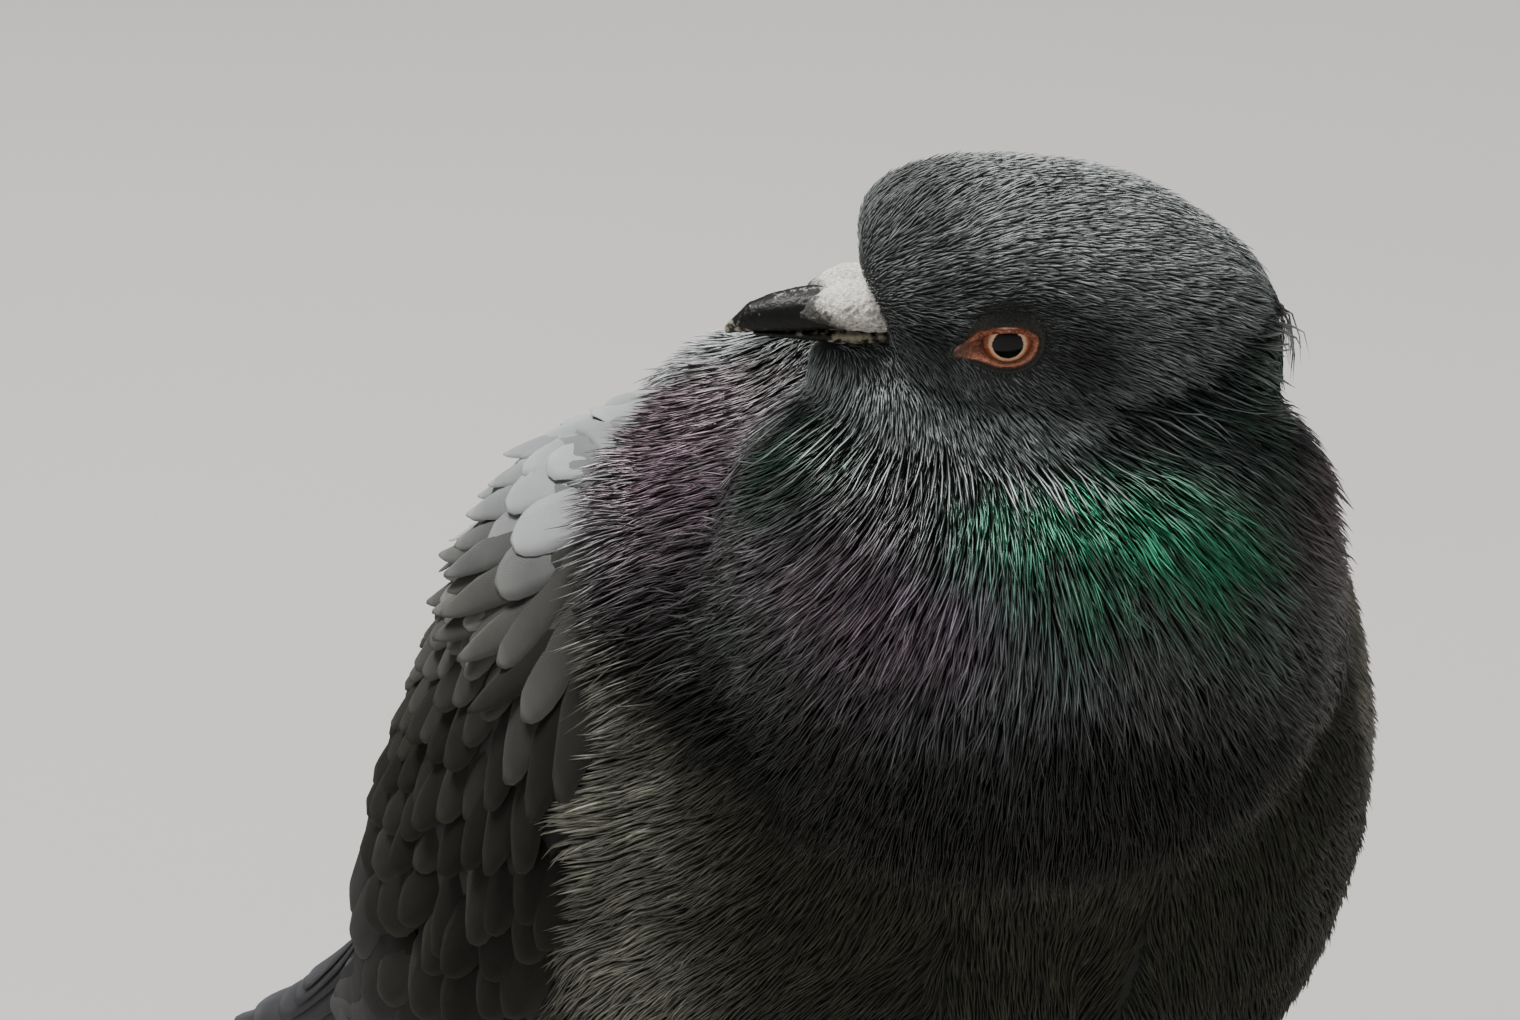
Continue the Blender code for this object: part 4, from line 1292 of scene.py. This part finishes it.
def eyeMaterial():
    made, tree, shader = newMaterial("eyeball", 0.12, 0.12)
    split = addNode(tree, "SeparateXYZ", addNode(tree, "UVMap", uv_map="iris").outputs["UV"])
    ragged = calc(tree, "MULTIPLY_ADD", grain(tree, 2600, 3), 0.035, split.outputs["Y"])
    pupilEdge, inner, outer = (eyeLook[key] / 90 + 0.0175 for key in ("pupil", "inner", "iris"))
    rows = (
        (0.0, (0.004, 0.003, 0.003)),
        (pupilEdge - 0.006, (0.004, 0.003, 0.003)),
        (pupilEdge + 0.006, (0.78, 0.52, 0.36)),
        (inner - 0.01, (0.70, 0.40, 0.24)),
        (inner + 0.03, (0.30, 0.07, 0.022)),
        (outer - 0.03, (0.20, 0.04, 0.013)),
        (outer + 0.01, (0.05, 0.014, 0.008)),
        (1.0, (0.02, 0.008, 0.006)),
    )
    fleck = ramp(tree, grain(tree, 4200, 2), ((0.3, 0.75), (0.7, 1.2)))
    feed(tree, shader.inputs["Base Color"], multiply(tree, 0.8, ramp(tree, ragged, rows), fleck))
    shader.inputs["Coat Weight"].default_value = 0.15
    shader.inputs["Coat Roughness"].default_value = 0.03
    return made


def makeEye(side, sideName):
    centre = middleOf(f"eye_{sideName}")
    low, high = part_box(f"eye_{sideName}")
    radius = (high - low)[0] / 2
    bpy.ops.mesh.primitive_uv_sphere_add(segments=64, ring_count=48, radius=radius, calc_uvs=False)
    bpy.ops.object.shade_smooth()
    eye = bpy.context.view_layer.objects.active
    eye.name = f"eyeball_{sideName}"
    points = getPoints(eye)
    tilt = np.degrees(np.arccos(np.clip(points[:, 2] / radius, -1, 1))) / 90
    spin = np.degrees(np.arctan2(points[:, 1], points[:, 0])) / 360 + 0.5
    corner = readArray(eye.data.loops, "vertex_index", 1, np.int32)[:, 0]
    layer = eye.data.uv_layers.new(name="iris")
    layer.data.foreach_set("uv", np.stack([spin, tilt], 1)[corner].astype(np.float32).ravel())
    # the clear front of the eye swells a little
    points *= (1 + 0.035 * np.exp(-((tilt * 90 / 34) ** 2)))[:, None]
    turn = np.array(Vector(headAxes[:, 1] * side).to_track_quat("Z", "Y").to_matrix())
    setPoints(eye, points @ turn.T + centre)
    finish(eye, eyeball, [f"eye_{sideName}"])
    makeLid(side, sideName, centre, radius / mm)


def makeLid(side, sideName, centre, radius):
    # an almond ring of bare skin
    around = np.linspace(0, 2 * math.pi, 96, endpoint=False)
    count, last = len(around), len(eyeLook["lidRows"]) - 1
    c, s = np.cos(around), np.sin(around)
    x = c * np.where(c > 0, *eyeLook["lidHalfLength"])
    z = s * np.where(s > 0, *eyeLook["lidHalfHeight"])
    corner = np.exp(-(((around + math.pi) % (2 * math.pi) - math.pi + 0.12) / 0.5) ** 2)
    rows = []
    for out, over in eyeLook["lidRows"]:
        inner = min(out, 1.05) * (1 + np.where(s < 0, -0.5, -0.35) * s)
        outer = max(out - 1.05, 0) * (1 + 1.1 * np.clip(s, 0, 1)) * (1 - 0.7 * corner)
        wide = eyeLook["rim"] * (inner + outer)
        reach = min(max(out, 0), 0.95)
        px = x + c * wide + corner * eyeLook["corner"] * reach * 0.95
        pz = z + s * wide - corner * reach * 0.55
        away = np.hypot(px, pz)
        ball = np.sqrt(np.clip(radius**2 - away**2, 1.0, None))
        dish = 12.0 - np.sqrt(np.clip(81 - away**2, 1.0, None)) - 0.35
        level = np.maximum(ball, dish) + over - 1.1 * corner * (out > 1.1)
        rows.append(np.stack([px, level, pz], 1))
    local = np.concatenate(rows)
    bumps = softNoise(local * mm, 0.42, 2.0)
    local[:, 1] += 0.15 * bumps * np.repeat(eyeLook["lidBumps"], count)
    faces, total = [], len(local)
    for i in range(count):
        j = (i + 1) % count
        for r in range(last):
            a, b, d, e = r * count + i, r * count + j, (r + 1) * count + j, (r + 1) * count + i
            faces += [(a, b, d), (a, d, e)]
            faces += [(total + a, total + d, total + b), (total + a, total + e, total + d)]
        faces += [(i, total + j, j), (i, total + i, total + j)]
        a, b = last * count + i, last * count + j
        faces += [(a, b, total + b), (a, total + b, total + a)]
    points = np.concatenate([local, local - (0, 0.5, 0)])
    points[:, 1] *= side
    # the pink is the skin's own, with painted highlight on the rim's crest and on the raised grains; it is
    # stronger on the lower rim
    share = np.repeat(eyeLook["lidPinkAndHighlight"], count) * (0.55 + 0.6 * (local[:, 2] < 0))
    share = np.clip(share + 0.35 * bumps * (share > 0), 0, 1)
    tone = np.repeat(eyeLook["lidTone"], count) * (1 - 0.75 * easeStep(3.6, 5.6, local[:, 0]))
    colours = blend(eyeLook["bare"], blend(eyeLook["lid"], eyeLook["pale"], share), tone)
    # the inner sheet is a darker copy: painted shade
    colours = np.concatenate([colours, colours * 0.5])
    lid = meshFrom(f"eyelid_{sideName}", fromHead(points) - headCentre + centre, np.array(faces), colours, {})
    edit(lid, bpy.ops.mesh.normals_make_consistent, inside=False)
    finish(lid, lidSkin)


print("eyes")
eyeball = eyeMaterial()
lidFleck = (3500, 3, (0.35, (0.6, 0.55, 0.5)), (0.65, (1.35, 1.3, 1.25)))
lidSkin = paintedMaterial("eyelidSkin", 0.6, 0.3, lidFleck, (3000, 3, 0.6, 0.0002))
for side, sideName in sides:
    makeEye(side, sideName)

billLook = {
    "horn": (0.007, 0.007, 0.007),
    "flake": (0.30, 0.295, 0.28),
    "straw": (0.30, 0.27, 0.19),
    "chalk": (0.74, 0.71, 0.66),
    "chalkLow": (0.26, 0.23, 0.19),
    "cereTip": (0.02, 0.019, 0.017),
    "shut": 0.33,  # how far the lower bill is raised, mm
}


def refined(name, nodes, voxel, smoothing):
    piece = copyNodes(name, nodes)
    remesh(piece, voxel)
    soften(piece, 0.5, smoothing)
    bpy.ops.object.shade_smooth()
    return piece


def makeBill(node, horn):
    lower = node == "bill_lower"
    piece = refined(node + "_horn", [node], 0.24, 5)
    points = getPoints(piece) + headAxes[:, 2] * billLook["shut"] * mm * lower
    forward, left, up = toHead(points).T
    flakes = softNoise(points, 0.8, 4.0) + 0.7 * softNoise(points, 0.3, 9.0)
    tip = easeStep(36, 40, forward)
    base = easeStep(29, 24, forward)
    edge = np.exp(-(((up + 3.1) / 0.5) ** 2)) * easeStep(20, 24, forward)
    ridge = easeStep(1.1, 0.2, np.abs(left)) * easeStep(38, 30, forward) * (up > -1)
    want = 0.85 * base + 0.5 * edge if lower else 0.45 * tip + 0.6 * edge + 0.75 * ridge + 0.7 * base
    pale = easeStep(0.6, 1.05, flakes * 0.5 + want)
    flake = blend(billLook["flake"], billLook["straw"], np.clip(edge + lower * 0.7, 0, 1))
    paint(piece.data, blend(billLook["horn"], flake, pale))
    rough = flakes * 0.07 * (0.3 + pale)
    setPoints(piece, points + getNormals(piece) * rough[:, None] * mm)
    finish(piece, horn, [node])


def makeCere(chalk):
    # the two lobes meet in a soft groove over the bill, and taper into its ridge
    piece = copyNodes("cere_skin", ["cere_left", "cere_right"])
    swell(piece, 0.45)
    remesh(piece, 0.2)
    soften(piece, 0.6, 24)
    bpy.ops.object.shade_smooth()
    forward, left, up = toHead(getPoints(piece)).T
    sunk = (0.6 + 1.9 * easeStep(24.5, 32, forward)) * easeStep(-1.5, 2.5, up)
    inward = 1 - 0.16 * easeStep(25, 31, forward)
    setPoints(piece, fromHead(np.stack([forward, left * inward, up - sunk], 1)))
    soften(piece, 0.5, 6)
    points = getPoints(piece)
    grit = softNoise(points, 0.6, 1.0) + 0.7 * softNoise(points, 0.28, 6.0)
    forward, _, up = toHead(points).T
    fold = np.sin((up * 1.1 + 0.35 * forward + 0.9 * softNoise(points, 2.5, 2.0)) * 5.5)
    fold = fold * easeStep(4.2, 0.5, up)
    swell(piece, 0.08 * grit + 0.06 * fold)
    dark = easeStep(-1.6, 1.6, forward - 26.5 - 1.2 * (up - 0.2) + 1.2 * grit) * 0.95
    low = easeStep(1.5, -2.2, up + 0.8 * grit) * 0.55
    colour = blend(blend(billLook["chalk"], billLook["chalkLow"], low), billLook["cereTip"], dark)
    # the troughs of the folds are painted darker: painted shade in the creases
    paint(piece.data, colour * (0.9 + 0.14 * grit - 0.1 * (fold < -0.5))[:, None])
    finish(piece, chalk, ["cere_left", "cere_right"])


print("bill")
hornFleck, chalkFleck = (2500, 3, (0.3, 0.7), (0.7, 1.25)), (3200, 4, (0.32, 0.55), (0.6, 1.08))
billHorn = paintedMaterial("billHorn", 0.45, 0.22, hornFleck, (1800, 4, 0.5, 0.00025))
for node in ("bill_upper", "bill_lower"):
    makeBill(node, billHorn)
makeCere(paintedMaterial("cereSkin", 0.9, 0.5, chalkFleck, (3000, 4, 0.7, 0.0003)))


legLook = {
    "skin": (0.50, 0.115, 0.095),
    "shankRing": 2.4,  # from one ring of scales to the next, mm
    "toeRing": 2.0,
    "relief": 0.16,
}


def clawMaterial():
    made, tree, shader = newMaterial("clawHorn", 0.35)
    stops = ((0.3, (0.02, 0.018, 0.016)), (0.7, (0.06, 0.05, 0.045)))
    feed(tree, shader.inputs["Base Color"], ramp(tree, grain(tree, 700, 3, (1, 1, 3)), stops))
    return made


def makeLeg(sideName, scales, horn):
    node = f"leg_{sideName}"
    leg = refined(f"leg_skin_{sideName}", [node], 0.42, 3)
    points = getPoints(leg)
    p = points / mm
    out = np.linalg.norm((p - middleOf(node) / mm)[:, :2], axis=1)
    shank = easeStep(5.5, 8.5, p[:, 2])
    rings = np.where(p[:, 2] > 7, p[:, 2] / legLook["shankRing"], out / legLook["toeRing"])
    plate = np.abs(((rings + 0.15 * softNoise(points, 4, 2.0)) % 1) - 0.5) * 2
    ridge = easeStep(0.0, 0.45, 1 - plate)
    upward = np.clip(getNormals(leg)[:, 2], 0, 1) * (1 - shank) + shank
    swell(leg, legLook["relief"] * (ridge - 0.5) * upward * (p[:, 2] > 0.5))
    tone = (0.72 + 0.38 * ridge) * (1 + 0.12 * softNoise(points, 3, 8.0))
    paint(leg.data, np.array(legLook["skin"]) * tone[:, None])
    finish(leg, scales, [node])
    for toe in ("inner", "middle", "outer", "hind"):
        claw = f"{sideName}_{toe}"
        finish(refined(f"nail_{claw}", [f"claw_{claw}"], 0.25, 2), horn, [f"claw_{claw}"])


print("legs")
scaleFleck = (900, 3, (0.3, 0.8), (0.7, 1.15))
legScales = paintedMaterial("legScales", 0.5, 0.5, scaleFleck, (1500, 3, 0.5, 0.0002))
clawHorn = clawMaterial()
for _, sideName in sides:
    makeLeg(sideName, legScales, clawHorn)

# name: place (m), size (m), watts, colour
lights = {
    "key": ((-0.45, 0.25, 1.75), 0.75, 68, (1.0, 0.985, 0.96)),
    "front": ((-0.8, -1.9, 0.9), 1.0, 5, (1.0, 0.98, 0.95)),
    "rim": ((1.0, 0.9, 1.2), 0.7, 8, (1.0, 0.98, 0.95)),
}
studio = {"sky": (0.8, 0.85, 0.9, 1), "strength": 0.12, "floor": ((0.46, 0.455, 0.44), (0.50, 0.49, 0.475))}


def putAt(name, data, at, towards):
    # puts a camera or lamp at a place, with its back turned this way
    placed = bpy.data.objects.new(name, data)
    bpy.context.scene.collection.objects.link(placed)
    placed.location = at
    placed.rotation_mode = "QUATERNION"
    placed.rotation_quaternion = Vector(towards).to_track_quat("Z", "Y")
    return placed


def setCamera():
    camera = bpy.data.cameras.new("camera")
    camera.lens = view["lens"]
    camera.clip_end = 60
    bpy.context.scene.camera = putAt("camera", camera, aim + lookBack * view["distance"], lookBack)


def setLights():
    for name, (at, size, watts, colour) in lights.items():
        lamp = bpy.data.lights.new(name, "AREA")
        lamp.size = size
        lamp.energy = watts
        lamp.color = colour
        putAt(name, lamp, at, Vector(at) - Vector(aim))
    world = bpy.data.worlds.new("studio")
    world.use_nodes = True
    background = world.node_tree.nodes["Background"]
    background.inputs["Color"].default_value = studio["sky"]
    background.inputs["Strength"].default_value = studio["strength"]
    bpy.context.scene.world = world


def makeFloor():
    bpy.ops.mesh.primitive_grid_add(x_subdivisions=4, y_subdivisions=4, size=12, location=(0, 2.5, -0.0002))
    floor = bpy.context.view_layer.objects.active
    floor.name = "floor"
    made, tree, shader = newMaterial("paleFloor", 0.75)
    stops = zip((0.3, 0.7), studio["floor"])
    feed(tree, shader.inputs["Base Color"], ramp(tree, grain(tree, 2, 2), stops))
    floor.data.materials.append(made)


print("camera, lights and floor")
aim = pupil - lookRight * view["eyeRight"] * mm - lookUp * view["eyeUp"] * mm
setCamera()
setLights()
makeFloor()
